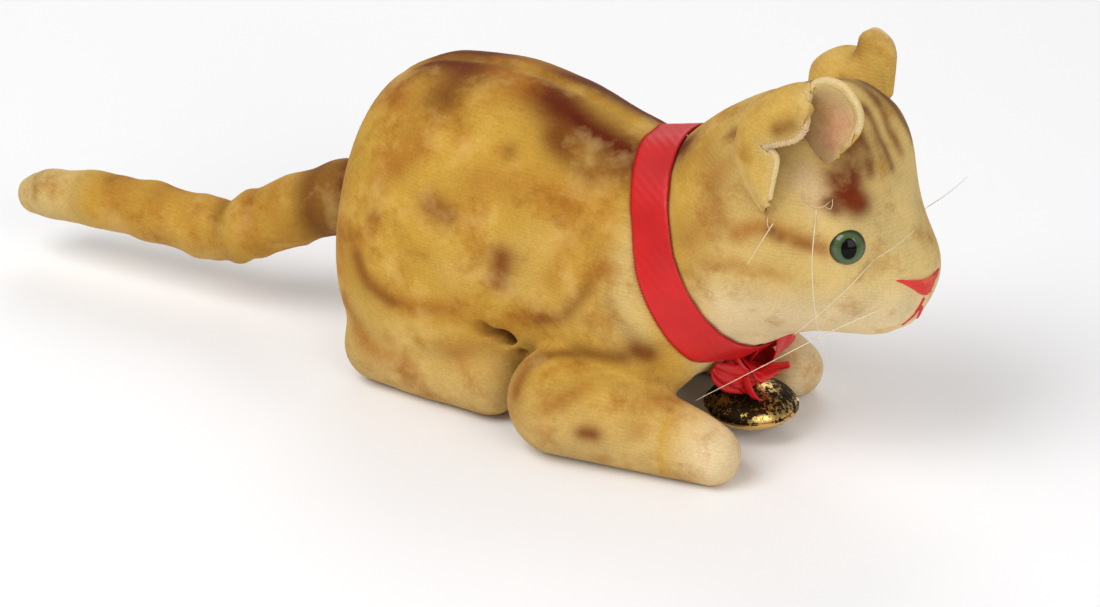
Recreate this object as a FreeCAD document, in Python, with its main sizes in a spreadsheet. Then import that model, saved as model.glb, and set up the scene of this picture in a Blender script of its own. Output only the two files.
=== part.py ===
import FreeCAD, Part

import os

# Small stuffed velvet cat with a sewn tail, glass eyes, a ribbon collar and a brass bell.
# All sizes are in millimetres. +X is the way the cat faces, +Y its left, +Z up, and the
# origin is on the floor under the middle of the toy, tail included.

doc = FreeCAD.newDocument("PlushCat")
sheet = doc.addObject("Spreadsheet::Sheet", "Sizes")
V = FreeCAD.Vector
row = 0


def size(alias, value):
    """Write one driving dimension to the sheet under a name."""
    global row
    row += 1
    sheet.set("A%d" % row, alias)
    sheet.set("B%d" % row, "%g" % value)
    sheet.setAlias("B%d" % row, alias)


SIZES = {
    "velvet": 0.8, "seam_rise": 0.35, "seam_wide": 0.7,
    "gusset_half_wide": 9.5, "gusset_high": 14.3, "throat_half_wide": 5.0, "throat_high": 29.0,
    "neck_x": 43.2, "neck_z": 27.0, "neck_tilt": 21.0, "neck_half_high": 16.7, "neck_half_wide": 13.7,
    "ribbon_wide": 6.3, "ribbon_thick": 0.3,
    "tail_root_x": -10.5, "tail_root_z": 24.0, "tail_ball": 5.6, "tail_gap": 0.3, "tail_wire_radius": 0.45,
    "eye_x": 68.0, "eye_y": 10.4, "eye_z": 37.8, "eye_radius": 2.55, "eye_turn": 62.0,
    "pupil_half_wide": 1.05, "pupil_half_high": 1.5, "pupil_deep": 0.45,
    "shank_ring": 0.8, "shank_wire": 0.25,
    "ear_x": 61.5, "ear_y": 12.2, "ear_z": 51.0, "ear_long": 7.3, "ear_wide": 4.8, "ear_high": 10.8,
    "ear_cloth": 0.7, "ear_stitch": 0.3,
    "nose_x": 75.2, "nose_z": 30.6, "nose_deep": 1.0, "nose_half_wide": 2.6, "nose_half_high": 1.3,
    "stitch_radius": 0.3, "whisker_radius": 0.15,
    "bell_x": 50.5, "bell_y": -0.5, "bell_z": 4.3, "bell_radius": 6.6, "bell_up": 3.2, "bell_down": 2.7,
    "bell_wall": 0.35, "rim_out": 0.25, "rim_high": 0.5, "slot_wide": 0.8, "slot_long": 7.0, "slot_end": 0.7,
    "loop_ring": 0.9, "loop_wire": 0.3, "link_ring": 1.2, "link_wire": 0.25, "link_play": 0.04,
    "pellet_radius": 1.0, "pellet_play": 0.15,
    "knot_x": 50.9, "knot_z": 11.6, "knot_long": 2.4, "knot_wide": 2.6, "knot_high": 1.8,
}
for key, value in SIZES.items():
    size(key, value)

# Stations along X. Body and head: x, top, underside, half width. Limbs: x, y, z, radius.
BODY = [
    (-11.0, 27.0, 9.0, 8.0), (-10.1, 34.0, 4.5, 12.0), (-8.0, 38.5, 1.8, 15.2), (-4.0, 42.8, 1.0, 17.0),
    (2.0, 46.4, 1.0, 18.0), (10.0, 48.4, 2.0, 17.8), (20.0, 47.6, 4.0, 16.8), (30.0, 45.0, 5.5, 15.5),
    (38.0, 42.8, 7.3, 15.0), (45.0, 41.4, 8.6, 14.6), (51.0, 40.0, 10.5, 13.8),
]
HEAD = [
    (38.0, 41.0, 15.0, 12.0), (47.0, 50.2, 12.0, 14.9), (56.0, 54.8, 15.5, 16.1), (65.0, 54.4, 20.0, 13.9),
    (71.5, 43.5, 20.8, 10.3), (75.4, 35.8, 24.4, 5.4),
]
FORELEG = [
    (21.5, 15.6, 7.6, 3.0), (24.5, 15.6, 7.7, 6.6), (30.0, 15.6, 7.8, 8.0), (38.0, 15.4, 6.8, 6.9),
    (46.0, 15.0, 5.3, 5.6), (51.0, 14.8, 4.6, 4.7), (54.0, 14.8, 4.4, 3.7), (55.6, 14.8, 4.2, 1.6),
]
HIND_FOOT = [
    (-10.2, 12.3, 5.2, 2.2), (-8.2, 12.3, 5.2, 4.8), (-4.0, 12.4, 5.2, 5.6), (6.0, 13.6, 5.0, 5.4),
    (13.0, 14.6, 4.9, 5.0), (16.5, 14.8, 4.7, 3.9), (18.2, 14.8, 4.5, 1.8),
]
TAIL = [
    (-10.6, 0.0, 24.0, 4.8), (-15.0, 0.0, 22.9, 4.9), (-21.0, -0.4, 20.4, 5.2), (-28.0, -0.9, 16.8, 5.1),
    (-33.5, -1.3, 13.8, 4.9), (-37.5, -1.6, 12.3, 4.3), (-42.0, -1.7, 12.3, 4.5), (-52.0, -1.9, 12.8, 4.4),
    (-63.0, -2.0, 12.4, 4.2), (-71.0, -2.0, 11.3, 3.7), (-75.0, -2.0, 10.7, 2.7), (-76.2, -2.0, 10.5, 1.3),
]
STATIONS = {"body": BODY, "head": HEAD, "foreleg": FORELEG, "hindfoot": HIND_FOOT, "tail": TAIL}
FIELDS = {"body": "x top low wide", "head": "x top low wide"}
for group, stations in STATIONS.items():
    for n, station in enumerate(stations):
        for field, value in zip(FIELDS.get(group, "x y z radius").split(), station):
            size("%s_%s_n%d" % (group, field, n), value)
doc.recompute()

FACING = FreeCAD.Rotation(V(0, 1, 0), 90)
nodes = []


def new(kind, label, **bound):
    """Add a document object and bind each named property to an expression."""
    item = doc.addObject(kind, label)
    item.Label = label
    for prop, expression in bound.items():
        item.setExpression(prop.replace("__", "."), str(expression).replace("@", "Sizes."))
    return item


def place(item, x="0", y="0", z="0", turn=None):
    """Bind the position of an object to the sheet, and turn it."""
    if turn is not None:
        item.Placement = FreeCAD.Placement(V(0, 0, 0), turn)
    for axis, expression in (("x", x), ("y", y), ("z", z)):
        item.setExpression("Placement.Base." + axis, str(expression).replace("@", "Sizes."))
    return item


def loft(label, sections):
    item = new("Part::Loft", label)
    item.Sections = sections
    item.Solid = True
    item.Ruled = False
    return item


def fuse(label, shapes):
    item = new("Part::MultiFuse", label)
    item.Shapes = shapes
    return item


def cut(label, base, tool):
    item = new("Part::Cut", label)
    item.Base = base
    item.Tool = tool
    return item


def common(label, base, tool):
    item = new("Part::Common", label)
    item.Base = base
    item.Tool = tool
    return item


def node(item):
    """Mark an object as one of the toy's pieces."""
    nodes.append(item)
    return item


def oval_loft(label, group, inset):
    """A trunk through upright ovals, each `inset` inside the station's size."""
    last = len(STATIONS[group]) - 1
    sections = []
    for n in range(last + 1):
        shift = "+%s" % inset if n == 0 else "-%s" % inset if n == last else ""
        half = "(@{0}_top_n{1}-@{0}_low_n{1})/2".format(group, n)
        oval = new("Part::Ellipse", "%s_oval_%d" % (label, n),
                   MajorRadius="%s-%s" % (half, inset), MinorRadius="@%s_wide_n%d-%s" % (group, n, inset))
        middle = "(@{0}_top_n{1}+@{0}_low_n{1})/2".format(group, n)
        sections.append(place(oval, "@%s_x_n%d%s" % (group, n, shift), 0, middle, FACING))
    return loft(label, sections)


def round_loft(label, group, inset, side=1):
    """A limb through upright circles, each `inset` inside the station's radius."""
    last = len(STATIONS[group]) - 1
    sections = []
    for n in range(last + 1):
        shift = "+%s" % inset if n == 0 else "-%s" % inset if n == last else ""
        if group == "tail":
            shift = "+%s" % inset if n == last else ""
        ring = new("Part::Circle", "%s_ring_%d" % (label, n), Radius="@%s_radius_n%d-%s" % (group, n, inset))
        sections.append(place(ring, "@%s_x_n%d%s" % (group, n, shift), "%d*@%s_y_n%d" % (side, group, n),
                              "@%s_z_n%d" % (group, n), FACING))
    return loft(label, sections)


def neck_point(along):
    """Expressions for the point `along` the neck's axis from its middle."""
    return "@neck_x+(%s)*cos(@neck_tilt*1deg)" % along, "@neck_z+(%s)*sin(@neck_tilt*1deg)" % along


NECK_TURN = FreeCAD.Rotation(V(0, 1, 0), 90 - SIZES["neck_tilt"])


def neck_band(label, grow, start, end):
    """An oval cylinder about the neck's axis."""
    sections = []
    for n, along in enumerate((start, end)):
        oval = new("Part::Ellipse", "%s_oval_%d" % (label, n), MajorRadius="@neck_half_high+%s" % grow,
                   MinorRadius="@neck_half_wide+%s" % grow)
        x, z = neck_point(along)
        sections.append(place(oval, x, 0, z, NECK_TURN))
    return loft(label, sections)


def block(label, low, high):
    """A box between two corners given as expressions."""
    sides = ["(%s)-(%s)" % (b, a) for a, b in zip(low, high)]
    item = new("Part::Box", label, Length=sides[0], Width=sides[1], Height=sides[2])
    return place(item, *low)


def egg(label, x, y, z, rx, ry, rz, turn=None):
    """A full ellipsoid with half sizes along X, Y and Z."""
    item = new("Part::Ellipsoid", label, Radius1=rz, Radius2=rx, Radius3=ry)
    item.Angle1, item.Angle2, item.Angle3 = -90, 90, 360
    return place(item, x, y, z, turn)


def half_space(label, along, forward):
    """A large block ahead of or behind a plane square to the neck's axis."""
    item = new("Part::Box", label)
    item.Length, item.Width, item.Height = 120, 120, 120
    x, z = neck_point(along)
    turn = FreeCAD.Rotation(V(0, 1, 0), -SIZES["neck_tilt"])
    corner = turn.multVec(V(0 if forward else -120, -60, -60))
    return place(item, "%s+(%f)" % (x, corner.x), "%f" % corner.y, "%s+(%f)" % (z, corner.z), turn)


# --- Body: an outer form and the stuffing's form one cloth thickness inside it -----------------------
behind_neck = half_space("behind_neck", "-@ribbon_wide/2", False)
ahead_of_neck = half_space("ahead_of_neck", "@ribbon_wide/2", True)
above_floor = block("above_floor", ("-100", "-60", "0"), ("100", "60", "100"))
above_sole = block("above_sole", ("-100", "-60", "@velvet"), ("100", "60", "100"))


def body_form(label, inset):
    rear = half_space(label + "_rear", "-@ribbon_wide/2-" + inset, False)
    trunk = common(label + "_trunk", oval_loft(label + "_loft", "body", inset), rear)
    neck = neck_band(label + "_neck", "(-1)*" + inset, "-@ribbon_wide/2-4", "@ribbon_wide/2")
    return fuse(label, [trunk, neck])


body_outer = body_form("body_outer", "0")
body_inner = body_form("body_inner", "@velvet")
tail_socket = place(new("Part::Sphere", "tail_socket", Radius="@tail_ball+@tail_gap"),
                    "@tail_root_x", 0, "@tail_root_z")
body_cloth = cut("body_cloth", cut("body_hollow", body_outer, body_inner), tail_socket)
gusset_box = block("gusset_box", ("-20", "-@gusset_half_wide", "-1"),
                   ("60", "@gusset_half_wide", "@gusset_high"))
upper_cloth = cut("upper_cloth", body_cloth, gusset_box)
left_side = block("left_side", ("-100", "0", "-10"), ("100", "60", "100"))
right_side = block("right_side", ("-100", "-60", "-10"), ("100", "0", "100"))
node(common("body_side_left", upper_cloth, left_side))
node(common("body_side_right", upper_cloth, right_side))
node(common("belly_gusset", body_cloth, gusset_box))
node(cut("body_stuffing", body_inner, tail_socket))

# --- Legs: velvet tubes lying along the floor, each with its own filling ------------------------------
for side, sign in (("left", 1), ("right", -1)):
    for limb, group in (("foreleg", "foreleg"), ("hind_foot", "hindfoot")):
        skin_form = common("%s_skin_%s" % (limb, side),
                           round_loft("%s_tube_%s" % (limb, side), group, "0", sign), above_floor)
        fill_form = common("%s_core_%s" % (limb, side),
                           round_loft("%s_fill_%s" % (limb, side), group, "@velvet", sign), above_sole)
        limb_skin = cut("%s_free_%s" % (limb, side), skin_form, body_outer)
        node(cut("%s_velvet_%s" % (limb, side), limb_skin, fill_form))
        node(cut("%s_stuffing_%s" % (limb, side), fill_form, body_outer))

back_strip = block("back_strip", ("-9", "-@seam_wide/2", "30"), ("60", "@seam_wide/2", "60"))
raised_back = common("raised_back", oval_loft("raised_loft", "body", "(-1)*@seam_rise"), behind_neck)
node(cut("spine_seam", common("spine_strip", raised_back, back_strip), body_outer))

# --- Eyes: glass bead, black pupil let into its face, wire shank behind ------------------------------
sockets = []
shanks = []
for side, sign in (("left", 1), ("right", -1)):
    turn = FreeCAD.Rotation(V(0, 0, 1), sign * SIZES["eye_turn"])
    bead = place(new("Part::Sphere", "eye_bead_" + side, Radius="@eye_radius"), "@eye_x", "%d*@eye_y" % sign,
                 "@eye_z", FreeCAD.Rotation(V(0, 0, 1), sign * SIZES["eye_turn"] + 180))
    face_x = "@eye_x+(@eye_radius-@pupil_deep)*cos(@eye_turn*1deg)"
    face_y = "%d*(@eye_y+(@eye_radius-@pupil_deep)*sin(@eye_turn*1deg))" % sign
    pupil = egg("pupil_egg_" + side, face_x, face_y, "@eye_z", "@pupil_deep*2", "@pupil_half_wide",
                "@pupil_half_high", turn)
    node(common("eye_pupil_" + side, pupil, bead))
    node(cut("eye_glass_" + side, bead, pupil))
    back = "(@eye_radius+@shank_ring-@shank_wire)"
    shank = new("Part::Torus", "shank_ring_" + side, Radius1="@shank_ring", Radius2="@shank_wire")
    place(shank, "@eye_x-%s*cos(@eye_turn*1deg)" % back,
          "%d*(@eye_y-%s*sin(@eye_turn*1deg))" % (sign, back), "@eye_z")
    node(cut("eye_shank_" + side, shank, bead))
    sockets.append(bead)
    shanks.append(nodes[-1])
eye_sockets = fuse("eye_sockets", sockets)

# --- Head: two velvet halves over a firm filling ----------------------------------------------------
head_outer = common("head_outer", oval_loft("head_loft", "head", "0"), ahead_of_neck)
head_inner = common("head_inner", oval_loft("head_fill", "head", "@velvet"), ahead_of_neck)
head_cloth = cut("head_cloth", cut("head_hollow", head_outer, head_inner), eye_sockets)
throat_box = block("throat_box", ("30", "-@throat_half_wide", "0"),
                   ("90", "@throat_half_wide", "@throat_high"))
cheek_cloth = cut("cheek_cloth", head_cloth, throat_box)
node(common("head_side_left", cheek_cloth, left_side))
node(common("head_side_right", cheek_cloth, right_side))
node(common("throat_gusset", head_cloth, throat_box))
node(cut("head_stuffing", cut("head_packed", head_inner, eye_sockets), fuse("eye_shanks", shanks)))

# --- Ears: velvet outside, plain lining inside, whipped edge ----------------------------------------
for side, sign in (("left", 1), ("right", -1)):
    turn = FreeCAD.Rotation(V(0, 0, 1), -sign * 12)
    spot = ("@ear_x", "%d*@ear_y" % sign, "@ear_z")
    layers = []
    for n, inset in enumerate(("0", "@ear_cloth", "2*@ear_cloth")):
        layers.append(egg("ear_layer_%s_%d" % (side, n), *spot, "@ear_long-" + inset, "@ear_wide-" + inset,
                          "@ear_high-" + inset, turn))
    mouth = new("Part::Box", "ear_mouth_" + side)
    mouth.Length, mouth.Width, mouth.Height = 20, 30, 40
    place(mouth, "@ear_x+1.5", "%d*@ear_y-15" % sign, "@ear_z-36.0", FreeCAD.Rotation(V(0, 1, 0), -8))
    keep_out = fuse("ear_cut_" + side, [mouth, head_outer])
    node(cut("ear_outer_" + side, cut("ear_velvet_" + side, layers[0], layers[1]), keep_out))
    node(cut("ear_lining_" + side, cut("ear_plain_" + side, layers[1], layers[2]), keep_out))

# --- Embroidered nose and mouth ---------------------------------------------------------------------
nose = egg("nose_egg", "@nose_x", 0, "@nose_z", "@nose_deep", "@nose_half_wide", "@nose_half_high")
node(cut("nose_stitching", nose, head_outer))


def rod(label, start, end, radius):
    """A thread or bristle between two points."""
    start, end = V(*start), V(*end)
    item = new("Part::Cylinder", label, Radius=radius)
    item.Height = (end - start).Length
    item.Placement = FreeCAD.Placement(start, FreeCAD.Rotation(V(0, 0, 1), end - start))
    return item


MOUTH_FORK = (75.5, 0, 26.1)
mouth_rods = [rod("mouth_rod_0", (75.5, 0, 29.5), (75.5, 0, 25.9), "@stitch_radius")]
for n, sign in enumerate((1, -1)):
    mouth_rods.append(rod("mouth_rod_%d" % (n + 1), MOUTH_FORK, (74.9, sign * 2.6, 24.6), "@stitch_radius"))
mouth_clear = fuse("mouth_clear", [head_outer, nose])
node(cut("mouth_stitching", fuse("mouth_rods", mouth_rods), mouth_clear))

# --- Whiskers: straight bristles, root to tip -------------------------------------------------------
WHISKERS = [
    ((72.4, 8.2, 33.0), (67.5, 19.0, 45.0)), ((72.2, 8.4, 31.5), (64.0, 20.0, 22.0)),
    ((73.0, 7.6, 26.5), (55.0, 21.0, 17.5)), ((64.0, 13.3, 40.0), (58.0, 20.5, 33.0)),
]
for side, sign in (("left", 1), ("right", -1)):
    bristles = []
    for n, (root, tip) in enumerate(WHISKERS):
        bristles.append(rod("bristle_%s_%d" % (side, n), (root[0], sign * root[1], root[2]),
                            (tip[0], sign * tip[1], tip[2]), "@whisker_radius"))
    node(cut("whiskers_" + side, fuse("bristles_" + side, bristles), head_outer))

# --- Tail: velvet tube round a filling and a bendable wire ------------------------------------------
ball = place(new("Part::Sphere", "tail_ball_outer", Radius="@tail_ball"), "@tail_root_x", 0, "@tail_root_z")
core = new("Part::Sphere", "tail_ball_inner", Radius="@tail_ball-@velvet")
place(core, "@tail_root_x", 0, "@tail_root_z")
tail_outer = fuse("tail_outer", [round_loft("tail_loft", "tail", "0"), ball])
tail_inner = fuse("tail_inner", [round_loft("tail_fill", "tail", "@velvet"), core])
wire_rings = []
for n in range(len(TAIL) - 1):
    ring = new("Part::Circle", "wire_ring_%d" % n, Radius="@tail_wire_radius")
    wire_rings.append(place(ring, "@tail_x_n%d" % n, "@tail_y_n%d" % n, "@tail_z_n%d" % n, FACING))
tail_wire = node(loft("tail_wire", wire_rings))
node(cut("tail_velvet", tail_outer, tail_inner))
node(cut("tail_stuffing", tail_inner, tail_wire))

# --- Ribbon: collar band, knot, two loops and two cut ends ------------------------------------------
band = neck_band("band_outer", "@ribbon_thick", "-@ribbon_wide/2", "@ribbon_wide/2")
neck_hole = neck_band("band_inner", "0", "-@ribbon_wide/2-1", "@ribbon_wide/2+1")
node(cut("ribbon_collar", band, neck_hole))

loop_z = "@bell_z+@bell_up+@loop_ring-@loop_wire"
link_z = "%s+@loop_ring-@loop_wire-@link_wire-@link_play+@link_ring" % loop_z
LINK_TURN = FreeCAD.Rotation(V(0, 1, 0), 90)
link = new("Part::Torus", "bell_link", Radius1="@link_ring", Radius2="@link_wire")
node(place(link, "@bell_x", "@bell_y", link_z, LINK_TURN))
keep_out = fuse("knot_cut", [band, neck_hole, link])
knot_egg = egg("knot_egg", "@knot_x", "@bell_y", "@knot_z", "@knot_long", "@knot_wide", "@knot_high")
node(cut("ribbon_knot", knot_egg, keep_out))


def strap(label, points, width, height):
    """A ribbon length: a flat bar that follows a few points."""
    sections = []
    for n, (point, turn) in enumerate(points):
        bar = new("Part::Plane", "%s_bar_%d" % (label, n), Width=width)
        bar.Length = height
        spin = FreeCAD.Rotation(V(0, 0, 1), turn[0]) * FreeCAD.Rotation(V(1, 0, 0), turn[1])
        spin = spin * FreeCAD.Rotation(V(0, 1, 0), 90)
        corner = spin.multVec(V(-height / 2, -SIZES["ribbon_thick"] / 2, 0))
        bar.Placement = FreeCAD.Placement(V(*point) + corner, spin)
        sections.append(bar)
    return loft(label, sections)


# Each ribbon length: its height, then the points it follows, each with its two turns in degrees.
STRAPS = {
    "ribbon_loop_left": (5.0, [((52.5, 1.0, 11.4), (60, -70)), ((54.4, 3.9, 12.9), (50, -70)),
                               ((56.2, 6.3, 14.6), (45, -70))]),
    "ribbon_loop_right": (4.0, [((52.0, -2.2, 11.8), (-60, 70)), ((52.4, -4.4, 11.4), (-75, 65)),
                                ((52.6, -6.6, 11.2), (-85, 60))]),
    "ribbon_end_left": (2.5, [((52.8, 0.3, 12.0), (10, -60)), ((55.2, 0.8, 12.2), (10, -60)),
                              ((57.2, 1.2, 12.4), (10, -60))]),
    "ribbon_end_right": (3.2, [((52.3, -1.2, 11.4), (-20, 75)), ((54.0, -1.9, 11.0), (-20, 75)),
                               ((55.6, -2.5, 10.8), (-20, 75))]),
}
strap_clear = fuse("strap_clear", [knot_egg, link, band])
STRAP_UNDER = {"ribbon_end_left": "ribbon_loop_left", "ribbon_end_right": "ribbon_loop_right"}
strips = {}
for label, (height, points) in STRAPS.items():
    strips[label] = strap(label + "_strip", points, "@ribbon_thick", height)
    piece = strips[label]
    if label in STRAP_UNDER:
        piece = cut(label + "_free", piece, strips[STRAP_UNDER[label]])
    node(cut(label, piece, strap_clear))

# --- Bell: two pressed brass shells, a wire loop, and a loose pellet --------------------------------


def dome(label, radius, height, start, end):
    item = new("Part::Ellipsoid", label, Radius1=height, Radius2=radius, Radius3=radius)
    item.Angle1, item.Angle2, item.Angle3 = start, end, 360
    return place(item, "@bell_x", "@bell_y", "@bell_z")


rim = new("Part::Cylinder", "rim_disc", Radius="@bell_radius+@rim_out", Height="@rim_high")
place(rim, "@bell_x", "@bell_y", "@bell_z-@rim_high/2")
upper_body = dome("bell_upper_body", "@bell_radius", "@bell_up", 0, 90)
upper_room = dome("bell_upper_room", "@bell_radius-@bell_wall", "@bell_up-@bell_wall", -90, 90)
lower_body = dome("bell_lower_body", "@bell_radius", "@bell_down", -90, 0)
lower_room = dome("bell_lower_room", "@bell_radius-@bell_wall", "@bell_down-@bell_wall", -90, 90)
above_rim = block("above_rim", ("@bell_x-9", "@bell_y-9", "@bell_z"), ("@bell_x+9", "@bell_y+9", "@bell_z+9"))
below_rim = block("below_rim", ("@bell_x-9", "@bell_y-9", "@bell_z-9"), ("@bell_x+9", "@bell_y+9", "@bell_z"))
upper_solid = common("upper_solid", fuse("upper_rim", [upper_body, rim]), above_rim)
lower_solid = common("lower_solid", fuse("lower_rim", [lower_body, rim]), below_rim)
node(cut("bell_upper_shell", upper_solid, upper_room))
slot_tools = [block("slot_box", ("@bell_x-@slot_long/2", "@bell_y-@slot_wide/2", "@bell_z-6"),
                    ("@bell_x+@slot_long/2", "@bell_y+@slot_wide/2", "@bell_z-1"))]
for n, sign in enumerate((-1, 1)):
    hole = new("Part::Cylinder", "slot_end_%d" % n, Radius="@slot_end", Height="5")
    slot_tools.append(place(hole, "@bell_x+(%d)*@slot_long/2" % sign, "@bell_y", "@bell_z-6"))
node(cut("bell_lower_shell", cut("lower_hollow", lower_solid, lower_room), fuse("bell_slot", slot_tools)))
loop = new("Part::Torus", "loop_ring_solid", Radius1="@loop_ring", Radius2="@loop_wire")
place(loop, "@bell_x", "@bell_y", loop_z, FreeCAD.Rotation(V(1, 0, 0), 90))
node(cut("bell_loop", loop, upper_body))
node(place(new("Part::Sphere", "bell_pellet", Radius="@pellet_radius"), "@bell_x", "@bell_y",
           "@bell_z-@bell_down+@bell_wall+@pellet_play+@pellet_radius"))

doc.recompute()
bad = [o.Label for o in doc.Objects if "Invalid" in o.State or "Error" in o.State]
if bad:
    raise RuntimeError("did not compute: " + ", ".join(bad))
os.makedirs("parts", exist_ok=True)
for item in nodes:
    shape = item.Shape
    if shape.isNull() or not shape.isValid() or shape.Volume <= 0:
        raise RuntimeError("bad shape: " + item.Label)
    shape.exportStep("parts/%s.step" % item.Label)
    box = shape.optimalBoundingBox()
    extent = (box.XMin, box.XMax, box.YMin, box.YMax, box.ZMin, box.ZMax)
    print("%-20s solids %d volume %9.2f" % (item.Label, len(shape.Solids), shape.Volume),
          " ".join("%6.1f" % edge for edge in extent))
print("nodes", len(nodes))
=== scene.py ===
# %% [markdown]
# A small velvet cat lies with its forelegs stretched out, a red ribbon round its neck and a brass
# bell under its chin. The packed CAD model is the frame: it says where each piece is and what it
# moves with. This lesson dresses that frame, piece by piece, in cloth, glass, ribbon and brass.

# %% Load the frame
import math

import bmesh
import bpy
import numpy as np
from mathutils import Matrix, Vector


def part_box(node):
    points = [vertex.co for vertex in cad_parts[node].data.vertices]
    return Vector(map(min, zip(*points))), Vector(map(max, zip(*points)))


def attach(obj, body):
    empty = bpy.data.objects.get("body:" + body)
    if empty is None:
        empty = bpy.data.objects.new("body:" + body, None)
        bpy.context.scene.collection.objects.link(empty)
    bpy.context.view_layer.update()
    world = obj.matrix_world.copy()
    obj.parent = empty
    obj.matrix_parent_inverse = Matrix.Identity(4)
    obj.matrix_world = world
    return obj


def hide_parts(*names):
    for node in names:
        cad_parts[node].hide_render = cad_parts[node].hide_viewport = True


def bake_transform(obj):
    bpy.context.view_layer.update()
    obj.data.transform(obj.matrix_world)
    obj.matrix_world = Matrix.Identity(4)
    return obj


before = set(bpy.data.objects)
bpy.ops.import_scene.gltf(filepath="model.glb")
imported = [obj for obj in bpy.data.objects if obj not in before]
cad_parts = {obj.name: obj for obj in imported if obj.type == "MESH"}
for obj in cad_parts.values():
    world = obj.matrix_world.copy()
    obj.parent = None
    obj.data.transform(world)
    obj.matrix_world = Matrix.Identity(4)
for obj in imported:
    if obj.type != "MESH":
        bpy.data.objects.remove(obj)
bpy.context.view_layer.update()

import openvdb
from mathutils import Matrix, Vector

scene = bpy.context.scene
MM = 0.001


# %% [markdown]
# Stuffed cloth has no hard edges: every limb swells out of the body. One way to get that is to
# sculpt a mesh; another is to describe the toy as a field, a number at every point that is below
# zero inside the stuffing. Fields can be joined with a soft edge, which is just what a seam pulled
# over stuffing looks like, so the velvet is made that way here. First come the field's tools.

# %% Curves and soft joins


def smooth_curve(x, knots_x, knots_y):
    """A curve through the knots that never swings past them."""
    kx = np.asarray(knots_x, float)
    ky = np.asarray(knots_y, float)
    gap = np.diff(kx)
    slope = np.diff(ky) / gap
    tangent = np.concatenate([[slope[0]], np.zeros(len(kx) - 2), [slope[-1]]])
    for n in range(1, len(kx) - 1):
        if slope[n - 1] * slope[n] > 0:
            before = 2 * gap[n] + gap[n - 1]
            after = gap[n] + 2 * gap[n - 1]
            tangent[n] = (before + after) / (before / slope[n - 1] + after / slope[n])
    n = np.clip(np.searchsorted(kx, x) - 1, 0, len(kx) - 2)
    t = np.clip((x - kx[n]) / gap[n], 0, 1)
    rise = ky[n] * (1 + 2 * t) * (1 - t) ** 2 + ky[n + 1] * t * t * (3 - 2 * t)
    return rise + gap[n] * (tangent[n] * t * (1 - t) ** 2 - tangent[n + 1] * t * t * (1 - t))


def join(a, b, softness):
    """Two fields made one, with a rounded crease between them."""
    mix = np.clip(0.5 + 0.5 * (b - a) / softness, 0, 1)
    return b + (a - b) * mix - softness * mix * (1 - mix)


def carve(a, b, softness):
    """Field a with field b pressed out of it."""
    return -join(-a, b, softness)


print("a joint 2 mm soft bulges by", -join(0.0, 0.0, 2.0), "mm")

# %% Tubes, eggs and limbs


def trunk(X, Y, Z, stations):
    """A stuffed tube along X through upright ovals: x, top, underside, half width."""
    x, top, low, wide = np.array(stations, float).T
    along = X[:, 0, 0]
    shape = (slice(None), None, None)
    middle = smooth_curve(along, x, (top + low) / 2)[shape]
    half = smooth_curve(along, x, (top - low) / 2)[shape]
    width = smooth_curve(along, x, wide)[shape]
    ratio = np.sqrt((Y / width) ** 2 + ((Z - middle) / half) ** 2)
    outside = (ratio - 1) * np.sqrt(Y ** 2 + (Z - middle) ** 2) / np.maximum(ratio, 1e-6)
    side = np.where(ratio > 1, outside, (ratio - 1) * np.minimum(width, half))
    ends = np.maximum(x[0] - along, along - x[-1])[shape]
    return np.maximum(side, ends)


def egg(X, Y, Z, centre, radii):
    """An ellipsoid's field."""
    P = [(axis - c) / r for axis, c, r in zip((X, Y, Z), centre, radii)]
    ratio = np.sqrt(P[0] ** 2 + P[1] ** 2 + P[2] ** 2)
    steep = np.sqrt(sum((p / r) ** 2 for p, r in zip(P, radii)))
    return ratio * (ratio - 1) / np.maximum(steep, 1e-6)


def limb(X, Y, Z, start, end, r_start, r_end):
    """A round limb that tapers from one end to the other."""
    a = np.array(start, float)
    d = np.array(end, float) - a
    t = np.clip(((X - a[0]) * d[0] + (Y - a[1]) * d[1] + (Z - a[2]) * d[2]) / d.dot(d), 0, 1)
    away = np.sqrt((X - a[0] - t * d[0]) ** 2 + (Y - a[1] - t * d[1]) ** 2 + (Z - a[2] - t * d[2]) ** 2)
    return away - r_start - (r_end - r_start) * t


print("the middle of a limb 2 mm thick:", limb(0, 0, 0, (0, 0, 0), (1, 0, 0), 2, 2), "mm")

# %% A field on a grid of points
STEP = 0.5
RAY_STEP = 0.1
SLOPE_REACH = 0.8


class Field:
    """A field sampled on a grid of points, all in millimetres."""

    def __init__(self, low, high, step=STEP):
        self.low = np.array(low, float)
        self.step = step
        axes = [np.arange(a, b, step) for a, b in zip(low, high)]
        self.X, self.Y, self.Z = np.meshgrid(*axes, indexing="ij")
        self.value = None

    def at(self, points):
        """The field's value at any points."""
        q = (np.atleast_2d(points) - self.low) / self.step
        base = np.clip(np.floor(q).astype(int), 0, np.array(self.value.shape) - 2)
        f = np.clip(q - base, 0, 1)
        total = 0
        for corner in np.ndindex(2, 2, 2):
            weight = np.prod(np.where(corner, f, 1 - f), axis=1)
            total = total + weight * self.value[tuple((base + corner).T)]
        return total

    def meet(self, start, direction, reach=60.0):
        """Where a straight line from start first touches the surface."""
        d = np.array(direction, float)
        d /= np.linalg.norm(d)
        steps = np.arange(0, reach, RAY_STEP)
        values = self.at(np.array(start, float) + steps[:, None] * d)
        inside = np.nonzero(values <= 0)[0]
        return np.array(start, float) + (steps[inside[0]] if len(inside) else 0.0) * d

    def outward(self, point):
        """The surface's outward direction near a point."""
        eps = np.eye(3) * SLOPE_REACH
        slope = self.at(point + eps) - self.at(point - eps)
        return slope / np.linalg.norm(slope)


print("grid step, mm:", STEP)

# %% From a field to a mesh
FAR = 3.0


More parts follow.
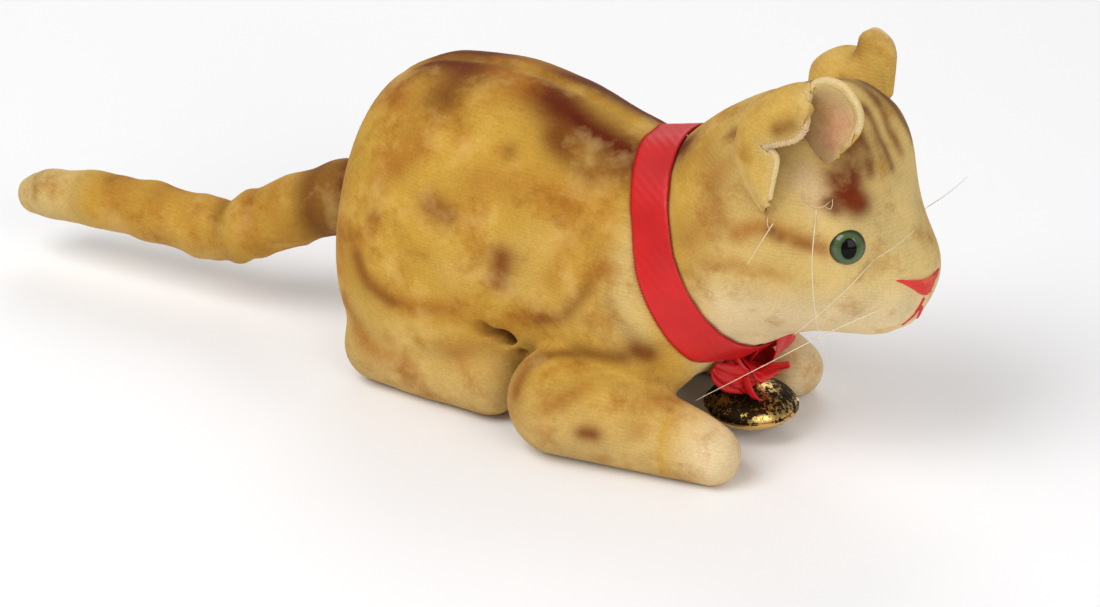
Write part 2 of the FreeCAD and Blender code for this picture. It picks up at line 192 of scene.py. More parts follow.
def field_mesh(name, field, value):
    """A closed, smooth-shaded mesh of a field's zero surface."""
    grid = openvdb.FloatGrid(background=FAR)
    grid.copyFromArray(np.clip(value, -FAR, FAR).astype(np.float32))
    points, quads = grid.convertToQuads(isovalue=0.0)
    points = (points * field.step + field.low) * MM
    return new_mesh(name, points.tolist(), quads[:, ::-1].tolist())


def new_mesh(name, points, faces):
    """A mesh object at the origin with its faces turned outwards."""
    data = bpy.data.meshes.new(name)
    data.from_pydata([tuple(p) for p in points], [], [tuple(f) for f in faces])
    mesh = bmesh.new()
    mesh.from_mesh(data)
    bmesh.ops.recalc_face_normals(mesh, faces=mesh.faces)
    mesh.to_mesh(data)
    mesh.free()
    data.polygons.foreach_set("use_smooth", [True] * len(data.polygons))
    item = bpy.data.objects.new(name, data)
    scene.collection.objects.link(item)
    return item


print("a mesh keeps values within", FAR, "mm of the skin")

# %% [markdown]
# The body lies low and long. Its sides are two panels joined along the spine, so its section is an
# upright oval, given here at a few stations from rump to neck. The haunches, feet and forelegs are
# joined on softly. The head is a second oval run, blunt at the nose.

# %% Stations of the body and head
BODY = [
    (-11.2, 30.5, 13, 9), (-10.4, 38.8, 5, 13.4), (-7.8, 43.4, 2.4, 15.9), (-4, 46.2, 1.6, 17.2),
    (1.5, 48.4, 1.4, 18), (10, 49.2, 2.0, 17.8), (20, 47.8, 4.0, 16.8), (30, 44.4, 5.5, 15.5),
    (38, 42.2, 7.5, 14.6), (45, 42.2, 9, 13.4), (50, 39, 14, 11), (53, 34, 20, 6),
]
HEAD = [
    (37, 40, 22, 8), (40, 44.6, 15, 12.4), (45, 48.9, 13.4, 14.8), (51, 52.4, 13.6, 16),
    (58, 55.2, 18.4, 16.0), (62.5, 55.9, 19.9, 14.8), (66.5, 53.7, 20.3, 12.8),
    (69.5, 48.6, 20.6, 11.1), (72.5, 41.4, 21.4, 8.7), (74.8, 36.8, 23.0, 6.6), (76.3, 34.2, 26.0, 4.2),
    (77.0, 32.4, 28.4, 2.0),
]
cat = Field((-16, -27, -3), (80, 27, 62))
X, Y, Z = cat.X, cat.Y, cat.Z
S = np.abs(Y)
print("grid points:", X.shape)

# %% The plane of the neck
NECK = np.array([43.2, 0, 27.0])
NECK_TILT = math.radians(21)
NECK_AXIS = np.array([math.cos(NECK_TILT), 0, math.sin(NECK_TILT)])
THROAT_RUN = 4.6
RUN_START = 0.3


def forward(turn):
    """How far the ribbon runs ahead of its plane at an angle from the top of the neck."""
    return THROAT_RUN * np.clip((RUN_START - np.cos(turn)) / (1 + RUN_START), 0, 1) ** 1.5


angle = np.arctan2(Y, Z - NECK[2])
neck_off = (X - NECK[0]) * NECK_AXIS[0] + (Z - NECK[2]) * NECK_AXIS[2] - forward(angle)
print("the neck runs forward under the throat by", forward(math.pi), "mm")

# %% Join the haunches, feet, shoulders and forelegs on
body = trunk(X, Y, Z, BODY)
body = join(body, trunk(X, Y, Z, HEAD), 3.0)
body = join(body, egg(X, S, Z, (4.8, 10.6, 17), (15.6, 8.2, 18)), 4.0)
body = join(body, limb(X, S, Z, (-4.2, 11.6, 5.8), (14.8, 13.4, 5.0), 5.8, 5.0), 2.2)
body = join(body, egg(X, S, Z, (35, 11.5, 18), (12, 6, 12)), 5.0)
body = join(body, limb(X, Y, Z, (29.0, -17.6, 7.6), (52.0, -16.2, 4.2), 8.0, 4.6), 1.4)
body = join(body, limb(X, Y, Z, (29.0, 15.2, 7.6), (51.6, 12.9, 4.2), 8.0, 4.5), 1.4)
FLANK_GAPS = [
    ((14.6, 19.5, 15.7), (17.4, 10.0, 13.6), 1.25), ((17.6, 19.0, 14.6), (18.6, 11.0, 12.6), 1.5),
    ((19.6, 20.0, 11.5), (19.8, 12.0, 10.6), 0.8),
]
for start, end, bore in FLANK_GAPS:
    body = carve(body, limb(X, S, Z, start, end, bore, 0.8 * bore), 0.8)
print("deepest point before creasing, mm:", round(float(-body.min()), 1))

# %% Press in the brow, chin, neck and seams
PRESSED = [((69.8, 6.5, 48.6), 5.5, -1.9), ((73.6, 5.5, 39.8), 3.8, 1.2), ((75.2, 2.0, 24.5), 4.2, 0.9)]
for (px, py, pz), width, depth in PRESSED:
    body = body + depth * np.exp(-((X - px) ** 2 + (S - py) ** 2 + (Z - pz) ** 2) / width ** 2)
body = body + 0.75 * np.exp(-(neck_off / 2.4) ** 2)
body = body + 0.5 * np.exp(-(Y / 0.8) ** 2) * np.clip((Z - 38) / 3, 0, 1) * (neck_off < 0)
body = body + 0.12 * np.exp(-(np.abs(neck_off) / 5.0)) * np.sin(23 * angle + 2 * np.sin(3 * angle))
cat.value = np.maximum(body, -Z)
print("grid", cat.value.shape, "stuffed volume, cm3:",
      round(float((cat.value < 0).sum()) * STEP ** 3 / 1000, 1))

# %% Cut the field at the neck and make the two velvet skins
PAW_TOP = 10.4
is_head = np.minimum(neck_off, Z - PAW_TOP)
velvet_body = field_mesh("velvet_body", cat, np.maximum(cat.value, is_head))
velvet_head = field_mesh("velvet_head", cat, np.maximum(cat.value, -is_head))
for piece in (velvet_body, velvet_head):
    print(piece.name, len(piece.data.polygons), "faces")

# %% [markdown]
# The tail is a separate tube, stuffed and wired, and sewn into the rump. It was bent once, so two
# runs meet at a fold: joining them with hardly any softness leaves the crease that the cloth has.

# %% Tail
TAIL_ROOT = [
    (-6.5, 0.0, 25.6, 5.2), (-12, 0.0, 24.2, 5.3), (-18, -0.2, 21.8, 5.3), (-26, -0.8, 18.0, 5.2),
    (-33, -1.3, 14.2, 5.0), (-36.8, -1.6, 12.5, 4.4),
]
TAIL_END = [
    (-36.0, -1.6, 12.2, 4.5), (-41, -1.7, 12.1, 4.7), (-52, -1.9, 12.7, 4.5), (-62, -2.0, 12.5, 4.3),
    (-70, -2.0, 11.6, 3.8), (-73.2, -2.0, 11.0, 3.2),
]


def chain(field, points):
    """A field along a row of points, each with its radius."""
    total = None
    for a, b in zip(points, points[1:]):
        piece = limb(field.X, field.Y, field.Z, a[:3], b[:3], a[3], b[3])
        total = piece if total is None else join(total, piece, 1.2)
    return total


tail = Field((-80, -9, 3), (-3, 8, 34), 0.45)
tail.value = join(chain(tail, TAIL_ROOT), chain(tail, TAIL_END), 0.5)
around = np.arctan2(tail.Y + 1.5, tail.Z - 13)
near_kink = np.exp(-((tail.X + 37) / 5.5) ** 2)
tail.value = tail.value + 0.16 * np.sin(1.5 * tail.X + 1.3 * np.sin(around)) * near_kink
tail.value = tail.value + 0.10 * np.sin(0.8 * tail.X + 2 * around)
velvet_tail = field_mesh("velvet_tail", tail, tail.value)
print(velvet_tail.name, len(velvet_tail.data.polygons), "faces")

# %% [markdown]
# The tabby coat was airbrushed on after sewing: golden sides, a cream face and feet, and brown to
# rust stripes with soft edges. A brush here is a short path on the skin, a width, a strength and a
# colour, blended over the points that it passes near. The result is stored as a colour attribute.

# %% The paints
GOLD = np.array([0.53, 0.30, 0.042])
PALE = np.array([0.58, 0.38, 0.10])
CREAM = np.array([0.60, 0.44, 0.18])
BELLY = np.array([0.54, 0.37, 0.14])
OCHRE = np.array([0.34, 0.115, 0.010])
BROWN = np.array([0.115, 0.014, 0.001])
RUST = np.array([0.165, 0.024, 0.003])
DARK = np.array([0.10, 0.012, 0.002])
WHITE = np.array([0.72, 0.56, 0.32])
PINK = np.array([0.60, 0.30, 0.17])
print("deepest brown:", DARK, "palest:", WHITE)

# %% The brush


def corners(item):
    """A mesh's points in millimetres."""
    flat = np.empty(len(item.data.vertices) * 3)
    item.data.vertices.foreach_get("co", flat)
    return flat.reshape(-1, 3) / MM


def away_from(points, path):
    """Each point's distance from a path."""
    best = np.full(len(points), 1e9)
    path = [np.array(p, float) for p in path]
    for a, b in zip(path, path[1:] or path):
        d = b - a
        t = np.clip((points - a).dot(d) / max(d.dot(d), 1e-9), 0, 1)
        best = np.minimum(best, np.linalg.norm(points - a - t[:, None] * d, axis=1))
    return best


def brush(colour, points, path, width, strength, tint):
    """Spray one soft stroke."""
    cover = strength * np.exp(-(away_from(points, path) / width) ** 2)
    colour += (tint - colour) * cover[:, None]


BESIDE, ABOVE = 26.5, 61.5


def side(x, z, hand):
    """The point on the cat's flank at a length and a height."""
    return cat.meet((x, hand * BESIDE, z), (0, -hand, 0))


def top(x, y):
    """The point on the cat's back at a length and a distance from the spine."""
    return cat.meet((x, y, ABOVE), (0, 0, -1))


print("the flank's middle is at", np.round(side(10, 25, -1), 1), "mm")

# %% The strokes: width, strength, paint and path
SIDE_STROKES = [
    (3.6, 0.75, CREAM, [(39.5, 21), (37.5, 28), (39.5, 35)]), (3.0, 0.5, PALE, [(30, 22), (36, 21)]),
    (4.0, 0.5, PALE, [(-6, 14), (2, 12), (10, 9)]), (3.2, 0.45, PALE, [(12, 24), (24, 30), (22, 22)]),
    (1.7, 0.70, OCHRE, [(-5, 25), (-3.6, 20.5), (1.8, 17.4), (6.6, 17.4), (11.5, 18.3)]),
    (1.2, 0.45, BROWN, [(-4.4, 22.5), (-2.4, 18.8), (1.8, 17.3)]),
    (3.2, 0.45, OCHRE, [(-9.5, 30), (-8.5, 20)]),
    (1.9, 0.60, OCHRE, [(-8, 13), (-3.5, 8.0), (3.2, 7.4)]), (2.4, 0.45, OCHRE, [(12, 11), (16, 15)]),
    (2.2, 0.75, RUST, [(7.6, 33.2), (9.8, 32.2)]), (2.0, 0.85, RUST, [(18.8, 27.4), (18.4, 23.8)]),
    (1.5, 0.50, RUST, [(-1.6, 29.4)]), (1.2, 0.40, BROWN, [(26.4, 33.8)]),
    (1.1, 0.40, BROWN, [(30.9, 32.7)]), (2.0, 0.55, OCHRE, [(1, 37), (4, 40)]),
    (2.6, 0.5, OCHRE, [(-2, 34), (2, 41)]), (3.0, 0.45, OCHRE, [(14, 37), (22, 38), (28, 36)]),
    (1.8, 0.36, OCHRE, [(21, 17.7), (28.7, 20.6), (33.5, 28.1), (33.4, 34.3), (31.5, 39)]),
    (1.1, 0.45, BROWN, [(24, 18.6), (28.7, 20.4), (32.5, 25.5)]),
    (2.2, 0.40, OCHRE, [(27, 26), (29, 32), (27, 36)]), (1.3, 0.30, BROWN, [(35.7, 24.5), (41, 17.7)]),
    (1.6, 0.9, DARK, [(40.2, 17.9), (41.6, 17.5)]), (2.0, 0.32, OCHRE, [(38.5, 18.2), (42.5, 17.2)]),
    (1.3, 0.65, BROWN, [(24.6, 10.5), (25.9, 14.4), (30.9, 15.6), (37.9, 16.4)]),
    (2.4, 0.45, OCHRE, [(24, 8), (24.6, 13)]), (1.4, 0.55, OCHRE, [(30, 9.6), (34.4, 12.9)]),
    (1.3, 0.85, RUST, [(35.6, 7.2), (37.0, 7.2)]), (1.5, 0.40, OCHRE, [(43, 8.3)]),
    (1.5, 0.35, OCHRE, [(12, 9), (9, 12)]),
    (1.5, 0.75, OCHRE, [(54.2, 38.6), (57.5, 40.4), (60.8, 40.0), (64.3, 38.6), (66.0, 37.8)]),
    (0.9, 0.60, BROWN, [(59.4, 40.0), (60.4, 39.4)]), (0.9, 0.40, BROWN, [(62.6, 38.8), (65.6, 37.9)]),
    (2.6, 0.50, OCHRE, [(47, 36), (51, 40)]), (2.2, 0.40, OCHRE, [(46, 46), (50, 44)]),
    (1.3, 0.45, OCHRE, [(50, 33), (55, 34.5), (61, 33.5)]), (1.6, 0.35, OCHRE, [(49, 44), (52, 48)]),
    (3.0, 0.35, OCHRE, [(40, 34), (41, 28)]),
]
TOP_STROKES = [
    (4.0, 1.0, BROWN, [(-1, -1.5), (9, -1.8)]), (3.6, 0.75, BROWN, [(6, -4), (5, -8.5)]),
    (3.0, 0.75, OCHRE, [(-6, -5), (-2, -9)]),
    (3.8, 1.0, BROWN, [(18, -3.4), (26, -5.4), (34, -5.6), (41, -4.8)]),
    (2.6, 0.65, OCHRE, [(10, -2), (17, -4)]), (2.6, 0.60, BROWN, [(20, -4), (24, -9)]),
    (3.0, 0.55, OCHRE, [(-9, -2), (-5, 0)]), (2.0, 0.55, BROWN, [(23, -9), (29, -10.5)]),
    (1.4, 0.50, RUST, [(17.5, -12.2)]), (2.0, 0.35, OCHRE, [(12, -8), (15, -4)]),
    (2.6, 0.45, BROWN, [(31, -8.5), (36, -8)]), (1.3, 0.75, BROWN, [(52, -3), (60, -2.5), (66, -2.2)]),
    (1.2, 0.55, BROWN, [(50, -8), (57, -7.5)]),
]
BLOTCH = [
    (2.4, 0.7, np.array([0.60, 0.42, 0.24]), [(62.5, 47.5), (64.8, 44.8)]),
    (1.8, 0.95, BROWN, [(66.2, 47.6), (67.6, 45.8), (69.4, 43.6)]),
    (1.4, 0.80, BROWN, [(68.2, 48.2), (68.4, 45.0)]), (1.7, 1.0, RUST, [(67.6, 45.2), (68.8, 44.0)]),
    (1.2, 0.8, BROWN, [(66.0, 44.4), (66.8, 43.4)]),
]
FOREHEAD = [
    (1.2, 0.75, [(-5.6, 53.0), (-6.0, 50.4), (-7.0, 47.6)]),
    (0.9, 0.70, [(-1.6, 54.0), (-2.6, 50.6), (-2.0, 46.4)]),
    (0.9, 0.60, [(1.6, 53.4), (0.9, 50.4), (1.8, 47.2)]),
    (1.2, 0.75, [(5.2, 53.2), (5.8, 50.2), (6.8, 47.4)]), (0.7, 0.35, [(-3.6, 51.5), (-4.2, 48.6)]),
]
CROWN = [(67.5, 10.0), (66.5, 7.0), (63.5, 5.0)]
print(len(SIDE_STROKES + TOP_STROKES), "strokes for each side,", len(BLOTCH + FOREHEAD), "for the brow")

# %% Spray the body and head
FAR_SHIFT = 1.2


def paint_cat(item):
    """The coat's colour at every point of a body or head skin."""
    P = corners(item)
    x, y, z = P.T
    ground = np.tile(GOLD, (len(P), 1))
    low = np.clip((15 - z) / 10, 0, 1) * np.where(x < 46, 0.75, 0)
    under = np.clip((13.5 - np.abs(y)) / 4, 0, 1) * np.clip((17 - z) / 8, 0, 1)
    ground += (BELLY - ground) * np.maximum(low, under)[:, None]
    chest = np.clip((x - 36) / 8, 0, 1) * np.clip((26 - z) / 8, 0, 1) * np.clip((13 - np.abs(y)) / 3, 0, 1)
    ground += (CREAM - ground) * chest[:, None]
    front = np.clip((x - 62) / 7, 0, 1) * np.clip((48 - z) / 7, 0, 1)
    jaw = np.clip((x - 46) / 6, 0, 1) * np.clip((33 - z) / 6, 0, 1)
    ground += (0.6 * PALE + 0.4 * CREAM - ground) * (0.9 * np.clip((x - 44) / 8, 0, 1) * (z > 10))[:, None]
    ground += (CREAM - ground) * (0.8 * front)[:, None]
    ground += (WHITE - ground) * (0.9 * jaw)[:, None]
    for hand in (-1, 1):
        near = (np.clip(hand * y, -2, 2) + 2)[:, None] / 4
        sprayed = ground.copy()
        for width, strength, tint, path in SIDE_STROKES:
            shift = 0.0 if hand < 0 else FAR_SHIFT
            brush(sprayed, P, [side(a + shift, b - 0.5 * shift, hand) for a, b in path], width, strength,
                  tint)
        for width, strength, tint, path in TOP_STROKES:
            brush(sprayed, P, [top(a, -hand * b) for a, b in path], width, strength, tint)
        ground = ground * (1 - near) + sprayed * near
    for width, strength, path in FOREHEAD:
        brush(ground, P, [cat.meet((84, b, c), (-1, 0, 0)) for b, c in path], width, strength, BROWN)
    brush(ground, P, [(49.5, 9.0, 6.4), (50.5, 8.6, 4.6)], 1.6, 0.55, OCHRE)
    for hand in (-1, 1):
        brush(ground, P, [top(a, hand * b) for a, b in CROWN], 2.0, 0.85, BROWN)
        for width, strength, tint, path in BLOTCH:
            brush(ground, P, [side(a, b, hand) for a, b in path], width, strength, tint)
    return ground


def store_colour(item, colour):
    """Keep a colour for each point on the mesh."""
    layer = item.data.color_attributes.new("coat", "FLOAT_COLOR", "POINT")
    rgba = np.ones((len(colour), 4))
    rgba[:, :3] = np.clip(colour, 0, 1)
    layer.data.foreach_set("color", rgba.ravel())


for piece in (velvet_body, velvet_head):
    store_colour(piece, paint_cat(piece))
    print(piece.name, "painted")

# %% Spray the tail: brown root, golden bands, cream tip
P = corners(velvet_tail)
x, y, z = P.T
coat = np.tile(GOLD, (len(P), 1))
coat += (CREAM - coat) * (0.85 * np.clip((-60 - x) / 9, 0, 1))[:, None]
coat += (BELLY - coat) * (0.5 * np.clip((13 - z) / 5, 0, 1) * (x < -34))[:, None]
BANDS = [
    (-9, 5.5, 0.95, BROWN), (-17, 4, 0.75, BROWN), (-24, 2.2, 0.4, OCHRE), (-30, 2.4, 0.5, OCHRE),
    (-36.5, 1.6, 0.5, BROWN), (-41, 2.6, 0.35, OCHRE), (-47, 2.5, 0.5, OCHRE), (-55, 4.0, 0.5, OCHRE),
]
on_top = 0.55 + 0.45 * np.clip((z - 11) / 5, 0, 1)
for at, width, strength, tint in BANDS:
    cover = strength * np.exp(-((x + 0.35 * (z - 13) - at) / width) ** 2) * on_top
    coat += (tint - coat) * cover[:, None]
store_colour(velvet_tail, coat)
print(velvet_tail.name, "painted with", len(BANDS), "bands")

# %% [markdown]
# Short velvet shows its ground weave as fine lines and catches light at its edges. The weave and
# the pile's clumping are one shader group, used by every cloth here at its own scale. Only colours
# and heights leave the group; the sheen stays on each material's own shader.

# %% Shader helpers


def new_group(name, inputs, outputs):
    """An empty shader group with named sockets."""
    group = bpy.data.node_groups.new(name, "ShaderNodeTree")
    for label, kind, value in inputs:
        socket = group.interface.new_socket(label, in_out="INPUT", socket_type=kind)
        if value is not None:
            socket.default_value = value
    for label, kind in outputs:
        group.interface.new_socket(label, in_out="OUTPUT", socket_type=kind)
    return group, group.nodes.new("NodeGroupInput"), group.nodes.new("NodeGroupOutput")


def add(tree, kind, links=None, **settings):
    """A node with its settings made and its inputs linked or filled."""
    item = tree.nodes.new(kind)
    for key, value in settings.items():
        setattr(item, key, value)
    for key, value in (links or {}).items():
        if isinstance(value, bpy.types.NodeSocket):
            tree.links.new(value, item.inputs[key])
        else:
            item.inputs[key].default_value = value
    return item


def maths(tree, operation, a, b, clamp=False):
    return add(tree, "ShaderNodeMath", {0: a, 1: b}, operation=operation, use_clamp=clamp).outputs[0]


def times(tree, a, b, clamp=False):
    return maths(tree, "MULTIPLY", a, b, clamp)


def plus(tree, a, b):
    return maths(tree, "ADD", a, b)


def above(tree, a, level):
    """How far a value is over a level, and 0 below it."""
    return maths(tree, "SUBTRACT", a, level, True)


def noise(tree, place, scale, detail=2.0, roughness=0.5):
    """A cloudy value from 0 to 1."""
    sockets = {"Vector": place, "Scale": scale, "Detail": detail, "Roughness": roughness}
    return add(tree, "ShaderNodeTexNoise", sockets).outputs["Fac"]


def own_place(tree):
    """Each point's place in its object's own axes."""
    return add(tree, "ShaderNodeTexCoord").outputs["Object"]


def blend_colour(tree, factor, a, b, mode="MIX"):
    item = add(tree, "ShaderNodeMix", data_type="RGBA", blend_type=mode, clamp_factor=True)
    for socket, value in ((item.inputs[0], factor), (item.inputs[6], a), (item.inputs[7], b)):
        if isinstance(value, bpy.types.NodeSocket):
            tree.links.new(value, socket)
        else:
            socket.default_value = value
    return item.outputs[2]


print("shader helpers:", add.__name__, maths.__name__, blend_colour.__name__, noise.__name__)

# %% The pile group
FLOAT, VECTOR = "NodeSocketFloat", "NodeSocketVector"
pile_group, group_in, group_out = new_group(
    "pile", [("Place", VECTOR, None), ("Weave", FLOAT, 2000.0), ("Clump", FLOAT, 900.0)],
    [("Shade", FLOAT), ("Height", FLOAT), ("Worn", FLOAT)])
place = group_in.outputs["Place"]
bent = noise(pile_group, place, 90.0)
split = add(pile_group, "ShaderNodeSeparateXYZ", {0: place})
row = plus(pile_group, split.outputs["Z"], times(pile_group, bent, 0.0022))
row = plus(pile_group, row, times(pile_group, split.outputs["X"], 0.10))
lines = maths(pile_group, "SINE", times(pile_group, row, group_in.outputs["Weave"]), 0.0)
lines = plus(pile_group, times(pile_group, lines, 0.5), 0.5)
fine = noise(pile_group, place, group_in.outputs["Clump"], 3.0, 0.7)
patch = noise(pile_group, place, 130.0, 4.0, 0.6)
shade = plus(pile_group, times(pile_group, lines, 0.05), times(pile_group, fine, 0.50))
shade = plus(pile_group, shade, times(pile_group, patch, 0.60))
height = plus(pile_group, times(pile_group, lines, 0.15), fine)
for output, value in (("Shade", plus(pile_group, shade, 0.42)), ("Height", height), ("Worn", patch)):
    pile_group.links.new(value, group_out.inputs[output])
print("pile group:", len(pile_group.nodes), "nodes")

# %% Materials from the helpers


def material(name, **sockets):
    """A material with its Principled shader's sockets set."""
    item = bpy.data.materials.new(name)
    item.use_nodes = True
    shader = item.node_tree.nodes["Principled BSDF"]
    for key, value in sockets.items():
        shader.inputs[key.replace("_", " ")].default_value = value
    return item, item.node_tree, shader


def cloth(name, colour=None, weave=12000.0, clump=2600.0, sheen=0.07, bump=0.00012):
    """A pile or plain cloth; with no colour it takes the sprayed coat."""
    item, tree, shader = material(name, Roughness=0.85, Sheen_Weight=sheen, Sheen_Roughness=0.45,
                                  Sheen_Tint=(1.0, 0.86, 0.6, 1), Specular_IOR_Level=0.15)
    place = own_place(tree)
    pile = add(tree, "ShaderNodeGroup", node_tree=pile_group)
    tree.links.new(place, pile.inputs["Place"])
    pile.inputs["Weave"].default_value = weave
    pile.inputs["Clump"].default_value = clump
    base, soiled = colour, 0.5
    if colour is None:
        base, soiled = add(tree, "ShaderNodeAttribute", attribute_name="coat").outputs["Color"], 4.2
    grey = add(tree, "ShaderNodeCombineColor", {channel: pile.outputs["Shade"] for channel in range(3)})
    shaded = blend_colour(tree, 1.0, base, grey.outputs[0], "MULTIPLY")
    stained = times(tree, above(tree, noise(tree, place, 150.0, 5.0, 0.65), 0.505), soiled, True)
    deeper = blend_colour(tree, 1.0, shaded, (0.68, 0.44, 0.19, 1), "MULTIPLY")
    worn = times(tree, above(tree, pile.outputs["Worn"], 0.53), 2.2, True)
    shaded = blend_colour(tree, stained, shaded, deeper)
    tree.links.new(blend_colour(tree, worn, shaded, (0.66, 0.46, 0.17, 1)), shader.inputs["Base Color"])
    raised = add(tree, "ShaderNodeBump",
                 {"Height": pile.outputs["Height"], "Distance": bump, "Strength": 0.8})
    tree.links.new(raised.outputs["Normal"], shader.inputs["Normal"])
    return item


velvet = cloth("sprayed_velvet")
print("velvet shader:", len(velvet.node_tree.nodes), "nodes")

# %% [markdown]
# Each velvet skin stands for several sewn panels and the filling inside them, so it names them
# all. The tail's real cloth is sewn down over its first few millimetres.

# %% Say what a piece is


def belongs(item, finish, slot, *nodes):
    """Give a piece of the cat its material, when one is passed, hide the parts it stands for and print its
    slot.
    """
    if finish:
        item.data.materials.append(finish)
    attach(item, "cat")
    if nodes:
        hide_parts(*nodes)
    print(item.name, len(item.data.polygons), "faces of", slot)


STUFFED = [
    "%s_%s_%s" % (limb_name, kind, word) for limb_name in ("foreleg", "hind_foot")
    for kind in ("velvet", "stuffing") for word in ("left", "right")
]
belongs(velvet_body, velvet, "velvet_golden",
        "body_side_left", "body_side_right", "belly_gusset", "body_stuffing", *STUFFED)
belongs(velvet_head, velvet, "velvet_golden",
        "head_side_left", "head_side_right", "throat_gusset", "head_stuffing")
velvet_tail.data.materials.append(velvet)
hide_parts("tail_velvet", "tail_stuffing", "tail_wire")
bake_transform(velvet_tail)

# %% [markdown]
# The eyes are glass beads painted green at the back, with a black upright pupil. A bead is a
# turned shape: a flattened dome of glass, so it is spun from a profile and set on its own axis.

# %% Turned shapes


def turned(name, profile, segments=48):
    """A closed mesh spun about Z from (radius, height) pairs that start and end on the axis."""
    points, rows = [], []
    for radius, height in profile:
        if radius < 1e-6:
            rows.append([len(points)])
            points.append((0, 0, height))
        else:
            rows.append(list(range(len(points), len(points) + segments)))
            turns = [2 * math.pi * k / segments for k in range(segments)]
            points += [(radius * math.cos(turn), radius * math.sin(turn), height) for turn in turns]
    faces = []
    for a, b in zip(rows, rows[1:]):
        for k in range(segments):
            n = (k + 1) % segments
            ring = [a[k % len(a)], a[n % len(a)], b[n % len(b)], b[k % len(b)]]
            faces.append(list(dict.fromkeys(ring)))
    return new_mesh(name, np.array(points) * MM, faces)


def facing_matrix(place, direction):
    """A matrix that turns +Z to a direction and then moves to a place."""
    turn = Vector(direction).to_track_quat("Z", "Y").to_matrix().to_4x4()
    return Matrix.Translation(Vector(place)) @ turn


def dome(radius, height, steps, base=-0.5):
    """A profile that falls from the crown to the rim, closed below."""
    turns = [math.pi / 2 * k / steps for k in range(steps + 1)]
    rows = [(radius * math.sin(turn), height * math.cos(turn)) for turn in turns]
    return rows + [(radius * 0.9, base), (0, base)]


print("a dome's profile has", len(dome(1, 1, 12)), "points")

# %% Glass and pupil
iris_green, tree, shader = material("green_glass", Roughness=0.12, Coat_Weight=0.35, Coat_Roughness=0.02,
                                    Specular_IOR_Level=0.3)
radial = add(tree, "ShaderNodeAttribute", attribute_name="ring").outputs["Fac"]
flecks = times(tree, noise(tree, own_place(tree), 1600.0, 3.0), 0.08)
ramp = add(tree, "ShaderNodeValToRGB", {"Fac": plus(tree, radial, flecks)})
stops = ramp.color_ramp.elements
stops[0].position, stops[0].color = 0.30, (0.010, 0.030, 0.010, 1)
stops[1].position, stops[1].color = 1.0, (0.004, 0.008, 0.004, 1)
GREENS = [
    (0.52, (0.034, 0.072, 0.018, 1)), (0.80, (0.066, 0.108, 0.034, 1)),
    (0.93, (0.026, 0.040, 0.014, 1)),
]
for position, colour in GREENS:
    stops.new(position).color = colour
tree.links.new(ramp.outputs["Color"], shader.inputs["Base Color"])
pupil_black, tree, shader = material("pupil_black", Base_Color=(0.002, 0.002, 0.002, 1), Roughness=0.05,
                                     Specular_IOR_Level=0.12)
tree.links.new(times(tree, noise(tree, own_place(tree), 3000.0), 0.16), shader.inputs["Roughness"])
print("glass ramp:", len(stops), "colours")

# %% Eyes
EYE_RADIUS, EYE_HEIGHT = 2.5, 1.55
PUPIL_RISE = 0.42
SIDES = ((-1, "right"), (1, "left"))
SET_BACK = {-1: 0.0, 1: 2.0}
for hand, word in SIDES:
    low, high = [np.array(corner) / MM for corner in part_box("eye_glass_" + word)]
    centre = (low + high) / 2 - np.array([SET_BACK[hand], 0, 0])
    facing = np.array([0.52, hand * 0.83, 0.20])
    seat = cat.meet(centre + facing / np.linalg.norm(facing) * 9, -facing) - 0.25 * facing
    glass = turned("eye_%s" % word, dome(EYE_RADIUS, EYE_HEIGHT, 12))
    ring = glass.data.attributes.new("ring", "FLOAT", "POINT")
    reach = [math.hypot(v.co.x, v.co.y) / (EYE_RADIUS * MM) for v in glass.data.vertices]
    ring.data.foreach_set("value", [min(r, 1) for r in reach])
    pupil = turned("pupil_%s" % word, dome(1.0, 1.0, 8, 0.2))
    for vertex in pupil.data.vertices:
        x, y, crown = vertex.co.x * 1.12, vertex.co.y * 1.55, vertex.co.z / MM
        arc = EYE_HEIGHT * math.sqrt(1 - (x * x + y * y) / (EYE_RADIUS * MM) ** 2)
        vertex.co = (x, y, (arc - 0.35 + PUPIL_RISE * min(crown * 3, 1)) * MM)
    for item in (glass, pupil):
        item.data.transform(facing_matrix(seat * MM, facing))
        item.data.update()
    belongs(glass, iris_green, "eye_green_glass", "eye_glass_" + word, "eye_shank_" + word)
    belongs(pupil, pupil_black, "pupil_black", "eye_pupil_" + word)

# %% [markdown]
# Ribbon, ears and seams are thin sheets, so each is made from a grid of listed points and
# given a thickness along its own normals. The edge is rounded off by thinning the last few rows.

# %% Smooth grids of points


def through(points, count):
    """Points evenly spread on a smooth curve through a few given ones."""
    P = np.array(points, float)
    ends = np.vstack([2 * P[0] - P[1], P, 2 * P[-1] - P[-2]])
    out = []
    for t in np.linspace(0, len(P) - 1, count):
        n = min(int(t), len(P) - 2)
        a, b, c, d = ends[n:n + 4]
        f = t - n
        square, cube = 2 * a - 5 * b + 4 * c - d, 3 * b - a - 3 * c + d
        out.append(0.5 * (2 * b + (c - a) * f + square * f * f + cube * f ** 3))
    return np.array(out)


def patch_of(cage, across, along):
    """A smooth grid of points through a cage of columns."""
    columns = np.array([through(column, along) for column in cage])
    return np.stack([through(columns[:, k], across) for k in range(along)], axis=1)


def normals_of(grid, closed=False):
    """The grid's normal at every point."""
    du = (np.roll(grid, -1, 0) - np.roll(grid, 1, 0)) if closed else np.gradient(grid, axis=0)
    dv = np.gradient(grid, axis=1)
    n = np.cross(du, dv)
    return n / np.maximum(np.linalg.norm(n, axis=2, keepdims=True), 1e-9)


print("halfway along a bend:", through([(0, 0, 0), (1, 1, 0), (2, 0, 0)], 5)[1])

# %% Sheets with a thickness


